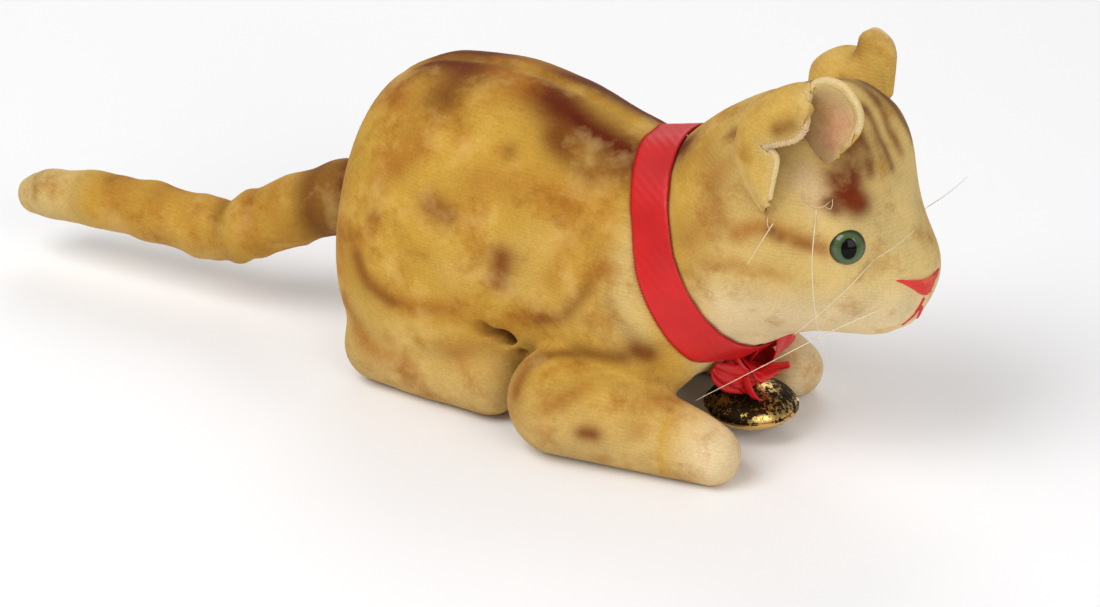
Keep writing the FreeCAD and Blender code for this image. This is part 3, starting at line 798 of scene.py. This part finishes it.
def thick(name, grid, above, below, closed=False, thin=2):
    """A closed sheet: the grid pushed out both ways along its normals."""
    n = normals_of(grid, closed)
    rows, cols = grid.shape[:2]
    v = np.minimum(np.arange(cols), cols - 1 - np.arange(cols)) / thin
    u = np.full(rows, 9.0) if closed else np.minimum(np.arange(rows), rows - 1 - np.arange(rows)) / thin
    edge = np.minimum(v[None, :], u[:, None])
    full = np.sqrt(np.clip(1 - (1 - np.clip(edge, 0, 1)) ** 2, 0.06, 1))[..., None]
    middle, half = (above + below) / 2, (above - below) / 2
    points = np.concatenate([(grid + n * (middle + way * half * full)).reshape(-1, 3) for way in (1, -1)])
    faces, back = [], rows * cols
    for i in range(rows if closed else rows - 1):
        a, b = i * cols, ((i + 1) % rows) * cols
        for k in range(cols - 1):
            faces.append((a + k, b + k, b + k + 1, a + k + 1))
            faces.append((back + a + k + 1, back + b + k + 1, back + b + k, back + a + k))
        faces.append((a, back + a, back + b, b))
        faces.append((a + cols - 1, b + cols - 1, back + b + cols - 1, back + a + cols - 1))
    if not closed:
        last = (rows - 1) * cols
        for k in range(cols - 1):
            faces.append((k, k + 1, back + k + 1, back + k))
            faces.append((last + k + 1, last + k, back + last + k, back + last + k + 1))
    return new_mesh(name, points * MM, faces)


print("sheet tool:", thick.__doc__)

# %% Threads, and pieces made of several


def tube(name, path, radius, sides=6, taper=0.0, count=24):
    """A closed round thread along a smooth curve; taper thins the far end."""
    P = through(path, count)
    tangent = np.gradient(P, axis=0)
    tangent /= np.linalg.norm(tangent, axis=1, keepdims=True)
    side = np.cross(tangent[0], (0.13, 0.37, 0.92))
    points, faces = [], []
    for k, (p, t) in enumerate(zip(P, tangent)):
        side = side - t * side.dot(t)
        side /= np.linalg.norm(side)
        other = np.cross(t, side)
        r = radius * (1 - taper * k / (count - 1)) * (0.4 if k in (0, count - 1) else 1)
        turns = np.arange(sides) * 2 * math.pi / sides
        points += [p + r * (math.cos(turn) * side + math.sin(turn) * other) for turn in turns]
    for k in range(count - 1):
        for s in range(sides):
            a, b = k * sides + s, k * sides + (s + 1) % sides
            faces.append((a, b, b + sides, a + sides))
    faces.append(tuple(range(sides)))
    faces.append(tuple(range(len(points) - sides, len(points))))
    return new_mesh(name, np.array(points) * MM, faces)


def merged(name, items):
    """Several meshes as one piece."""
    mesh = bmesh.new()
    for item in items:
        mesh.from_mesh(item.data)
        bpy.data.objects.remove(item)
    data = bpy.data.meshes.new(name)
    mesh.to_mesh(data)
    mesh.free()
    out = bpy.data.objects.new(name, data)
    scene.collection.objects.link(out)
    return out


print("thread tool:", tube.__doc__)

# %% [markdown]
# The ribbon is a narrow satin band with a stitched edge. It lies flat on the skin but bridges the
# hollow where the head is sewn on, so its radius at each angle is the larger of the skin's and a
# straight line between its two edges. Under the throat the bell's weight pulls it forward, and it
# is gathered where it meets the knot. It is red, woven so that fine ribs run across it.

# %% Ribbon material
satin, tree, shader = material("red_satin", Roughness=0.42, Anisotropic=0.5, Specular_IOR_Level=0.35)
place = own_place(tree)
ribs = add(tree, "ShaderNodeTexWave", {"Vector": place, "Scale": 330.0, "Distortion": 0.6, "Detail": 1.0},
           wave_type="BANDS", bands_direction="DIAGONAL")
red = blend_colour(tree, noise(tree, place, 160.0), (0.42, 0.003, 0.006, 1), (0.66, 0.012, 0.010, 1))
tree.links.new(red, shader.inputs["Base Color"])
raised = add(tree, "ShaderNodeBump", {"Height": ribs.outputs["Fac"], "Distance": 0.00004, "Strength": 0.5})
tree.links.new(raised.outputs["Normal"], shader.inputs["Normal"])
print(satin.name, len(tree.nodes), "nodes")

# %% Where the skin is round the neck
HALF_BAND = 3.15
RIBBON_HALF = 0.14
RIBBON_LIFT = 0.32
RIGHT = np.array([0.0, 1.0, 0.0])
UP = np.cross(NECK_AXIS, RIGHT)
UP = UP * np.sign(UP[2])
turns = np.linspace(0, 2 * math.pi, 180, endpoint=False)
offsets = np.linspace(-HALF_BAND, HALF_BAND, 15)
reach = np.arange(6, 24, 0.1)
band = np.empty((len(turns), len(offsets)))
for i, turn in enumerate(turns):
    ray = math.sin(turn) * RIGHT + math.cos(turn) * UP
    for k, offset in enumerate(offsets):
        P = NECK + (offset + forward(turn)) * NECK_AXIS + reach[:, None] * ray
        band[i, k] = reach[np.nonzero(cat.at(P) > 0)[0][0]]
band = sum(np.roll(band, way, 0) for way in (0, 1, -1, 2, -2)) / 5
print("neck radius, mm:", round(band.min(), 1), "to", round(band.max(), 1))

# %% Collar
w = (offsets + HALF_BAND) / (2 * HALF_BAND)
line = band[:, :1] * (1 - w) + band[:, -1:] * w
radius = np.maximum(band, line) + RIBBON_LIFT
rays = np.sin(turns)[:, None] * RIGHT + np.cos(turns)[:, None] * UP
gather = 1 - 0.22 * np.exp(-((turns - math.pi - 0.25) / 0.5) ** 2)
along = gather[:, None] * offsets + forward(turns)[:, None]
grid = NECK + along[..., None] * NECK_AXIS + radius[..., None] * rays[:, None, :]
collar = thick("ribbon_band", grid, RIBBON_HALF, -RIBBON_HALF, closed=True, thin=1)
belongs(collar, satin, "ribbon_red", "ribbon_collar")

# %% [markdown]
# The ribbon's edges carry a row of tiny loops. A Geometry Nodes group spreads one loop along an
# edge and turns it to the edge's direction; the same group later makes the whip stitches.

# %% The group that repeats a stitch
rows_group = bpy.data.node_groups.new("row", "GeometryNodeTree")
SOCKETS = {"Geometry": "NodeSocketGeometry", "Stitch": "NodeSocketObject", "Length": FLOAT,
           "Material": "NodeSocketMaterial"}
for label, kind in SOCKETS.items():
    rows_group.interface.new_socket(label, in_out="INPUT", socket_type=kind)
rows_group.interface.new_socket("Geometry", in_out="OUTPUT", socket_type="NodeSocketGeometry")
given = rows_group.nodes.new("NodeGroupInput")
curve = add(rows_group, "GeometryNodeMeshToCurve", {0: given.outputs["Geometry"]})
spread = add(rows_group, "GeometryNodeResampleCurve",
             {"Curve": curve.outputs[0], 3: given.outputs["Length"]}, mode="LENGTH")
way = rows_group.nodes.new("GeometryNodeInputTangent")
turned_way = add(rows_group, "FunctionNodeAlignRotationToVector", {"Vector": way.outputs[0]}, axis="Z")
stitch_shape = add(rows_group, "GeometryNodeObjectInfo", {"Object": given.outputs["Stitch"]})
wobble = add(rows_group, "FunctionNodeRandomValue", {"Seed": 7}, data_type="FLOAT_VECTOR")
wobble.inputs[0].default_value = (-0.35, -0.35, -0.2)
wobble.inputs[1].default_value = (0.35, 0.35, 0.2)
spin = add(rows_group, "FunctionNodeEulerToRotation", {0: wobble.outputs[0]})
both = add(rows_group, "FunctionNodeRotateRotation",
           {0: turned_way.outputs[0], 1: spin.outputs[0]}, rotation_space="LOCAL")
copies = add(rows_group, "GeometryNodeInstanceOnPoints", {
    "Points": spread.outputs[0], "Instance": stitch_shape.outputs["Geometry"], "Rotation": both.outputs[0]})
real = add(rows_group, "GeometryNodeRealizeInstances", {0: copies.outputs[0]})
dressed = add(rows_group, "GeometryNodeSetMaterial",
              {"Geometry": real.outputs[0], "Material": given.outputs["Material"]})
rows_group.links.new(dressed.outputs[0], rows_group.nodes.new("NodeGroupOutput").inputs[0])
print("row group:", len(rows_group.nodes), "nodes")

# %% Loops of thread, and the ribbon's edge
STITCH_STEP = 0.42


def torus(name, ring, thread, around, sides, flat=1.0):
    """A closed ring of thread about Z."""
    points, faces = [], []
    for i in range(around):
        a = 2 * math.pi * i / around
        for k in range(sides):
            b = 2 * math.pi * k / sides
            r = ring + thread * math.cos(b)
            points.append((r * math.cos(a), flat * r * math.sin(a), thread * math.sin(b)))
            n, m = (i + 1) % around, (k + 1) % sides
            faces.append((i * sides + k, n * sides + k, n * sides + m, i * sides + m))
    return new_mesh(name, np.array(points) * MM, faces)


def stitched(name, paths, stitch, spacing, finish):
    """One mesh of a stitch repeated along several paths."""
    points, edges = [], []
    for path in paths:
        start = len(points)
        points += [tuple(p * MM) for p in path]
        edges += [(start + k, start + k + 1) for k in range(len(path) - 1)]
    data = bpy.data.meshes.new(name)
    data.from_pydata(points, edges, [])
    item = bpy.data.objects.new(name, data)
    scene.collection.objects.link(item)
    work = item.modifiers.new("row", "NODES")
    work.node_group = rows_group
    sockets = {s.name: s.identifier for s in rows_group.interface.items_tree if s.in_out == "INPUT"}
    work[sockets["Stitch"]] = stitch
    work[sockets["Length"]] = spacing * MM
    work[sockets["Material"]] = finish
    ready = item.evaluated_get(bpy.context.evaluated_depsgraph_get())
    plain = bpy.data.meshes.new_from_object(ready)
    item.modifiers.clear()
    item.data = plain
    plain.polygons.foreach_set("use_smooth", [True] * len(plain.polygons))
    return item


picot = torus("picot", 0.15, 0.07, 8, 4, 0.8)
edges_of_band = [np.vstack([grid[:, k], grid[:1, k]]) for k in (0, -1)]
trim = stitched("ribbon_edge", edges_of_band, picot, STITCH_STEP, satin)
belongs(trim, None, "ribbon_red")

# %% [markdown]
# The bow under the chin is small and crushed: a tight knot, one loop standing up behind, one
# crumpled over to the side, and two short cut ends. Each is a strip of the same ribbon, described
# by a path and by the direction its width points in.

# %% A strip of ribbon
STRIP_COUNT, STRIP_ROWS = 40, 9


def strip(name, path, across, widths, crease):
    """A length of ribbon along a path, with creases running along it."""
    count = STRIP_COUNT
    P, W = through(path, count), through(across, count)
    W /= np.linalg.norm(W, axis=1, keepdims=True)
    half = through([[v, 0, 0] for v in widths], count)[:, :1] / 2
    v = np.linspace(-1, 1, STRIP_ROWS)
    grid = P[:, None] + v[None, :, None] * (W * half)[:, None]
    n = normals_of(grid)
    fold = crease * np.cos(v * 7)[None, :, None] * np.linspace(1, 0.35, count)[:, None, None]
    return thick(name, grid + n * fold, RIBBON_HALF, -RIBBON_HALF, thin=1)


print("a strip has", STRIP_COUNT, "by", STRIP_ROWS, "points on each face")

# %% Knot, loops and ends
strips = {
    "ribbon_knot": [
        strip("a",
              [(47.8, -4.6, 14.0), (49.0, -5.6, 12.6), (50.6, -5.8, 11.2), (52.0, -4.6, 10.4),
               (53.0, -2.4, 10.5), (52.6, -0.2, 11.6), (50.4, 0.4, 12.8)],
              [(0.5, 0.3, 0.8)] * 7, [5.0, 4.4, 3.8, 3.4, 3.4, 3.6, 4.0], crease=0.30),
        strip("b",
              [(49.6, -3.6, 13.4), (51.4, -3.8, 12.4), (53.2, -3.2, 11.2), (54.0, -2.2, 10.2),
               (53.0, -1.8, 9.5)],
              [(-0.5, 0.8, -0.2), (-0.4, 0.9, -0.2), (0, 1, 0), (0.2, 1, 0), (0.2, 1, 0)],
              [3.4, 4.0, 4.6, 4.4, 3.2], crease=0.28)],
    "ribbon_loop_back": [
        strip("c",
              [(50.6, -2.6, 12.4), (53.0, -2.8, 15.0), (55.4, -3.0, 17.4), (56.9, -3.0, 18.8),
               (56.4, -2.2, 17.4), (55.0, -1.4, 14.4), (53.2, -1.8, 11.4)],
              [(0.5, -0.8, 0.3), (0.2, -0.8, 0.5), (-0.2, -0.8, 0.5), (-0.3, -0.7, 0.6), (-0.2, -0.8, 0.5),
               (0.2, -0.8, 0.5), (0.5, -0.8, 0.3)],
              [4.0, 5.8, 4.6, 1.2, 4.6, 6.0, 4.0], crease=0.15)],
    "ribbon_loop_front": [
        strip("d",
              [(51.8, -4.2, 10.6), (50.4, -6.2, 11.2), (48.8, -7.8, 12.4), (48.0, -8.4, 13.2),
               (48.4, -7.9, 12.0), (49.8, -6.4, 10.4), (51.6, -4.4, 9.4)],
              [(0.4, 0.3, 0.85)] * 7, [3.2, 3.6, 2.8, 1.4, 2.6, 3.4, 3.2], crease=0.40)],
    "ribbon_end_back": [
        strip("e", [(52.8, -3.4, 11.4), (54.6, -3.8, 12.6), (56.2, -4.0, 13.4), (57.8, -4.2, 14.2)],
              [(0.2, -0.3, 0.9), (0.1, -0.5, 0.85), (0, -0.6, 0.8), (0, -0.3, 0.9)], [3.0, 2.8, 2.0, 1.4],
              crease=0.3)],
    "ribbon_end_front": [
        strip("f", [(50.8, -5.0, 10.6), (51.6, -5.6, 9.4), (52.2, -5.4, 8.6), (52.8, -4.6, 8.2)],
              [(-0.6, 0.4, -0.5), (-0.7, 0.4, -0.3), (-0.8, 0.4, 0), (-0.9, 0.4, 0.2)],
              [3.4, 3.8, 4.2, 3.6], crease=0.35)],
}
stands_for = {"ribbon_knot": "ribbon_knot", "ribbon_loop_back": "ribbon_loop_left",
              "ribbon_loop_front": "ribbon_loop_right",
              "ribbon_end_back": "ribbon_end_left", "ribbon_end_front": "ribbon_end_right"}
for name, parts in strips.items():
    belongs(merged(name + "_bow", parts), satin, "ribbon_red", stands_for[name])

# %% [markdown]
# Each ear is a cup of velvet lined with plain cloth. The rear edge folds over the opening and the
# front edge flares back, so velvet shows on one and lining on the other. The cage below follows
# the right ear from its rear base corner, over the crown, to its front corner; each column runs
# from the head to the rim. The left ear is cut alike but leans out more, so it has its own cage.
# The rim is a turned hem, and whip stitches show only where the fold bares the lining's edge.

# %% Cages of the ears
EAR = [
    [(58.5, -15.5, 42.5), (58.5, -16, 43), (58.5, -16, 43.5), (59, -16.5, 44), (59, -16.5, 44.5)],
    [(55.5, -14.5, 46), (55, -15, 47), (56, -16, 48), (57.5, -17, 48.5), (59.5, -16.5, 47.5)],
    [(54, -12.5, 49.5), (54, -14.5, 50.5), (55, -16, 52), (57, -17, 52.5), (60, -16.5, 51.5)],
    [(53.5, -10.5, 52), (54, -13, 53.5), (55.5, -15.5, 55.5), (57.5, -17, 55), (58.5, -17, 53)],
    [(54, -8, 53.5), (54.5, -11, 55.5), (58, -14.5, 58), (60, -16.5, 57), (61, -17, 54)],
    [(55, -6, 54), (56.5, -9.5, 56.5), (60, -13, 59.5), (62, -16, 58), (63, -16.5, 55)],
    [(57.5, -6.5, 54.5), (59.5, -9.5, 57), (61.5, -12, 60), (63.5, -14.5, 59.5), (64, -16, 57)],
    [(59.5, -8, 53), (61.5, -10, 56.5), (62.5, -12, 59.5), (63, -13.5, 60.5), (63, -14.5, 59.5)],
    [(61.5, -9.5, 51.5), (63, -10.5, 55), (64, -11.5, 58.5), (64.5, -12, 61), (64, -12.5, 61.5)],
    [(63, -10.5, 50.5), (64.5, -11, 53.5), (66, -11, 56.5), (67, -11, 59.5), (67, -11.5, 61)],
    [(64.5, -11, 50), (66, -11.5, 52), (67.5, -11, 54), (69, -11, 56.5), (69.5, -11.5, 57.5)],
    [(65.5, -11, 50), (66.5, -11.5, 50.5), (67, -11.5, 51.5), (68, -11.5, 52.5), (68.5, -11.5, 53)],
]
EAR_LEFT = [
    [(58.5, 15.5, 42.5), (58.5, 16, 43), (58.5, 16, 43.5), (59, 16.5, 44), (59, 16.5, 44.5)],
    [(55.5, 14.5, 46), (55, 15, 46.5), (56, 16, 47), (57.5, 16.5, 47), (59.5, 16.5, 46)],
    [(54, 12.5, 49.5), (54, 14, 50), (55, 15.5, 51), (57, 16.5, 51), (59.5, 16.5, 49.5)],
    [(53.5, 10.5, 52), (54, 12, 52.5), (55.5, 14, 54), (57.5, 15.5, 53.5), (58.5, 16, 51.5)],
    [(54, 8, 53.5), (54.5, 9.5, 54.5), (57, 12, 56.5), (59, 14.5, 55.5), (60.5, 15.5, 53)],
    [(55, 6, 54), (56.5, 8, 55.5), (59, 11, 57.5), (61, 13.5, 56.5), (62, 15, 54)],
    [(57.5, 5.5, 54.5), (59, 8, 56), (60.5, 10.5, 58), (61.5, 12.5, 57.5), (62.5, 14, 55.5)],
    [(59.5, 6.5, 53.5), (60.5, 8, 56), (61, 9.5, 58.5), (61.5, 10.5, 59), (62, 11.5, 58)],
    [(61.5, 7.5, 52.5), (61.5, 8.5, 55.5), (61.5, 9, 58.5), (61.5, 9.5, 60.5), (62, 10.5, 61)],
    [(63.5, 8, 52), (64, 8.5, 54.5), (64, 9, 57.5), (64.5, 9.5, 60), (64, 10.5, 61.5)],
    [(65, 8.5, 51), (65.5, 9, 53), (66, 9, 55.5), (66.5, 9.5, 58), (66.5, 10.5, 59.5)],
    [(66, 9, 50.5), (66.5, 9, 51.5), (66.5, 9.5, 52.5), (66.5, 10, 54), (66.5, 10.5, 55)],
]
EAR_LEFT_DROP = (0.2, 0.4, 0.9, 1.4, 1.9, 2.5, 2.8, 2.3, 1.7, 1.5, 1.3, 0.6)
EAR_LEFT_BACK = (0, 0, 0, 0, 0, 0, 0, 0.2, 0.3, 1.2, 1.7, 1.7)
share = np.linspace(0, 1, 5)
cages = {-1: np.array(EAR, float), 1: np.array(EAR_LEFT, float)}
cages[1][:, :, 2] -= np.outer(EAR_LEFT_DROP, share)
cages[1][:, :, 0] -= np.outer(EAR_LEFT_BACK, 0.4 + 0.6 * share)
for cage in cages.values():
    for column in cage:
        for _ in range(4):
            column[0] -= cat.outward(column[0]) * (cat.at(column[0])[0] + 0.5)
print("ear cages:", cages[1].shape)

# %% Ears
FOLD = slice(14, 34)
lining = cloth("ear_lining_cloth", weave=16000.0, clump=3200.0, sheen=0.1, bump=0.00008)
thread_pale = cloth("pale_thread", (0.68, 0.50, 0.32, 1), weave=30000.0, clump=5000.0, sheen=0.2,
                    bump=0.00004)
whip = torus("whip", 0.56, 0.085, 12, 5)
for hand, word in SIDES:
    grid = patch_of(cages[hand], 64, 30)
    rim, out_of_rim = grid[:, -1], normals_of(grid)[:, -1] * hand
    shell = thick("ear_velvet_" + word, grid, 0.75 * hand, 0.05 * hand)
    P = corners(shell)
    mirrored = P * (1, -hand, 1)
    coat = np.tile(0.5 * GOLD + 0.5 * PALE, (len(P), 1))
    brush(coat, P, list(rim[::4]), 1.2, 0.8, CREAM)
    brush(coat, mirrored, [(60.5, -17, 55.8), (62.0, -16.5, 56.6)], 1.2, 0.85, BROWN)
    brush(coat, mirrored, [(55, -14, 50), (57, -16, 46)], 1.8, 0.6, CREAM)
    brush(coat, mirrored, [(60, -8, 58)], 1.8, 0.6, RUST)
    store_colour(shell, coat)
    belongs(shell, velvet, "velvet_golden", "ear_outer_" + word)
    inner = thick("ear_cloth_" + word, grid, -0.05 * hand, -0.5 * hand)
    P = corners(inner)
    mirrored = P * (1, -hand, 1)
    coat = np.tile((0.46, 0.29, 0.13), (len(P), 1))
    brush(coat, P, list(rim[::3]), 1.5, 0.85, CREAM)
    brush(coat, mirrored, [(65.5, -11.5, 53.5), (67, -11.5, 56)], 1.8, 0.7, PINK)
    brush(coat, mirrored, [(61, -12, 52), (60, -14.5, 47)], 2.4, 0.6, PINK)
    store_colour(inner, coat)
    belongs(inner, lining, "lining", "ear_lining_" + word)
    hem = tube("ear_hem_" + word, (rim + out_of_rim * 0.1)[1:-1:2], 0.5, 10, 0.0, 90)
    store_colour(hem, np.tile(0.6 * CREAM + 0.4 * WHITE, (len(hem.data.vertices), 1)))
    belongs(hem, velvet, "velvet_golden")
    edge = stitched("ear_stitches_" + word, [(rim + out_of_rim * 0.12)[FOLD]], whip, STITCH_STEP,
                    thread_pale)
    belongs(edge, None, "thread_pale")

# %% [markdown]
# The nose is satin stitch: short red threads laid side by side round the muzzle, a little to one
# side as the maker's hand left them. Three more make the mouth. The whiskers are stiff bristles
# drawn through the muzzle and held by a wisp of thread.

# %% Nose and mouth
thread_red = cloth("red_thread", (0.66, 0.045, 0.035, 1), weave=30000.0, clump=6000.0, sheen=0.3,
                   bump=0.00005)


def on_face(y, z, lift):
    """A point on the muzzle at a side distance and a height."""
    start = cat.meet((82, y, z), (-1, 0, 0), 20)
    return start + cat.outward(start) * lift


NOSE_SIDE = -2.4
THREAD = 0.24
threads = []
lifts = 0.03 + 0.26 * np.sin(np.pi * np.linspace(0, 1, 7))
for k in range(8):
    half, level = 4.5 - 0.36 * k, 31.7 - 0.30 * k
    row = [(NOSE_SIDE + half * f, level - 0.6 * f - 0.5 * (1 - f * f)) for f in np.linspace(-1, 0.9, 7)]
    path = [on_face(y, z, lift) for (y, z), lift in zip(row, lifts)]
    threads.append(tube("t", path, THREAD, 6, 0.0, 16))
belongs(merged("nose_threads", threads), thread_red, "thread_red", "nose_stitching")
MOUTH = [
    [(-2.5, 28.4), (-2.7, 27.4), (-3.0, 26.2)], [(-2.2, 27.0), (-2.9, 25.4), (-3.9, 24.2)],
    [(-2.0, 26.8), (-1.0, 25.0), (0.4, 23.4)],
]
paths = [[on_face(y, z, 0.10) for y, z in path] for path in MOUTH]
mouth = merged("mouth_threads", [tube("m", path, THREAD, 6, 0.3, 10) for path in paths])
belongs(mouth, thread_red, "thread_red", "mouth_stitching")

# %% Bristle
bristle, tree, shader = material("bristle", Base_Color=(0.70, 0.62, 0.42, 1), Roughness=0.3,
                                 Coat_Weight=0.5)
mottle = noise(tree, own_place(tree), 300.0)
mottled = blend_colour(tree, mottle, (0.55, 0.47, 0.30, 1), (0.85, 0.78, 0.58, 1))
tree.links.new(mottled, shader.inputs["Base Color"])
print(bristle.name, len(tree.nodes), "nodes")

# %% Whiskers and wisps of thread
BRISTLE = 0.075
WHISKERS = [
    [(72.8, -8.4, 28.4), (66.0, -12.5, 24.5), (58.5, -16.5, 19.5), (51.0, -20.5, 14.5)],
    [(71.8, -9.2, 36.0), (74.6, -9.4, 38.6), (77.4, -9.6, 41.8)],
    [(71.6, -9.5, 35.8), (69.0, -11.8, 32.0), (65.5, -13.5, 27.8), (62.5, -14.6, 24.6)],
    [(64.6, -13.0, 43.6), (65.2, -15.2, 36.5), (66.2, -15.6, 29.0), (67.6, -15.0, 22.6)],
    [(59.6, -15.8, 41.4), (58.4, -17.4, 38.6), (57.0, -18.2, 35.6)],
]
TUFTS = [
    [(63.6, -13.2, 45.6), (64.4, -14.4, 44.4), (65.6, -13.6, 44.0), (66.6, -12.6, 44.8)],
    [(66.6, -12.4, 45.6), (67.2, -13.0, 44.6), (66.8, -13.2, 43.8), (65.8, -13.4, 44.2)],
    [(62.8, -13.6, 46.0), (63.4, -14.6, 45.0), (64.6, -14.2, 44.8)],
    [(71.0, -9.6, 36.6), (72.2, -9.6, 36.0), (73.2, -8.6, 36.0)],
    [(72.0, -9.2, 36.8), (72.8, -9.2, 35.8), (73.6, -8.2, 35.6)],
    [(58.6, -15.9, 42.6), (58.9, -16.6, 41.4), (59.4, -16.2, 40.4)],
]


def laid(path):
    """A wisp pulled in to lie just proud of the skin."""
    return [p - cat.outward(p) * (cat.at(p)[0] - lift) for p, lift in zip(path, (0.0, 0.5, 0.7, 0.3))]


def to_side(path, hand):
    """A path given for the right side, moved to either side."""
    return [np.array(p) * (1, -hand, 1) for p in path]


for hand, word in SIDES:
    lines = [tube("w", to_side(path, hand), BRISTLE, 5, 0.5) for path in WHISKERS]
    belongs(merged("bristles_" + word, lines), bristle, "bristle", "whiskers_" + word)
    wisps = [tube("w", laid(to_side(path, hand)), BRISTLE, 5, 0.4, 12) for path in TUFTS]
    belongs(merged("wisps_" + word, wisps), thread_pale, "thread_pale")

# %% [markdown]
# The two side panels meet along the spine in a seam with small, close stitches sunk in the pile.

# %% Spine seam
seam_path = np.array([top(x, 0) - (0, 0, 0.10) for x in np.arange(6, 38.5, 0.5)])
bar = turned("seam_stitch", [(0, -0.45), (0.10, -0.35), (0.13, 0), (0.10, 0.35), (0, 0.45)], 6)
seam = stitched("spine_stitches", [seam_path], bar, 1.15, thread_pale)
belongs(seam, None, "thread_pale", "spine_seam")
for helper in (picot, whip, bar):
    bpy.data.objects.remove(helper)

# %% [markdown]
# The bell is two pressed brass shells crimped at a rim. Its top has lost its polish: black tarnish
# broken by flecks of bright metal. The lower shell, which rubs on things, stays bright. The CAD
# shells are already the right shape, so they only get their metal.

# %% Brass


def brass(name, tarnish):
    """Bright metal under a broken black tarnish."""
    item, tree, shader = material(name, Metallic=1.0)
    place = own_place(tree)
    grain = noise(tree, place, 1500.0, 4.0, 0.75)
    both = plus(tree, times(tree, grain, 0.7), times(tree, noise(tree, place, 260.0), 0.5))
    cover = times(tree, above(tree, both, 0.60 - tarnish), 18.0, True)
    metal = blend_colour(tree, cover, (0.62, 0.40, 0.13, 1), (0.030, 0.018, 0.008, 1))
    tree.links.new(metal, shader.inputs["Base Color"])
    tree.links.new(plus(tree, times(tree, cover, 0.4), 0.22), shader.inputs["Roughness"])
    raised = add(tree, "ShaderNodeBump", {"Height": grain, "Distance": 0.00006, "Strength": 0.6})
    tree.links.new(raised.outputs["Normal"], shader.inputs["Normal"])
    return item


top_brass, low_brass = brass("tarnished_brass", 0.07), brass("bright_brass", -0.10)
for name in ("bell_upper_shell", "bell_lower_shell", "bell_loop", "bell_link", "bell_pellet"):
    shell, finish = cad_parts[name], top_brass if name == "bell_upper_shell" else low_brass
    shell.data.materials.clear()
    shell.data.materials.append(finish)
    print(name, "given", finish.name)

# %% [markdown]
# The stage is a pale floor. A large soft lamp stands above, with weaker ones in front and behind, so
# that the pile shows its swell without hard shadows.

# %% Stage, light and camera
HALF_FLOOR = 3
floor_corners = [(HALF_FLOOR * a, HALF_FLOOR * b, 0) for a, b in ((-1, -1), (1, -1), (1, 1), (-1, 1))]
floor = new_mesh("floor", floor_corners, [(0, 1, 2, 3)])
floor.data.materials.append(material("pale_floor", Base_Color=(0.92, 0.92, 0.93, 1), Roughness=0.9)[0])


def aimed(item, place, target):
    """Stand a lamp or a camera at a place and turn it to a target."""
    item.matrix_world = facing_matrix(place, Vector(place) - Vector(target))
    scene.collection.objects.link(item)


def lamp(name, place, target, energy, size):
    """A square area lamp."""
    light = bpy.data.lights.new(name, "AREA")
    light.energy, light.size = energy, size
    aimed(bpy.data.objects.new(name, light), place, target)
    print(name, "lamp", energy, "W")


lamp("key", (-0.18, -0.42, 0.62), (0.02, 0, 0.02), 3.3, 0.45)
lamp("fill", (0.55, -0.35, 0.30), (0.03, 0, 0.03), 1.7, 0.40)
lamp("rim", (-0.20, 0.50, 0.45), (0.02, 0, 0.02), 1.2, 0.40)
world = bpy.data.worlds.new("studio")
world.use_nodes = True
sky = world.node_tree.nodes["Background"].inputs
sky["Color"].default_value, sky["Strength"].default_value = (1, 1, 1, 1), 0.42
scene.world = world
scene.view_settings.view_transform = "Standard"

camera = bpy.data.objects.new("camera", bpy.data.cameras.new("camera"))
camera.data.lens, camera.data.sensor_width, camera.data.clip_start = 105, 36, 0.01
aimed(camera, (0.2147, -0.3710, 0.2263), (0.0265, -0.0170, 0.0220))
scene.camera = camera
print("camera lens:", camera.data.lens, "mm")
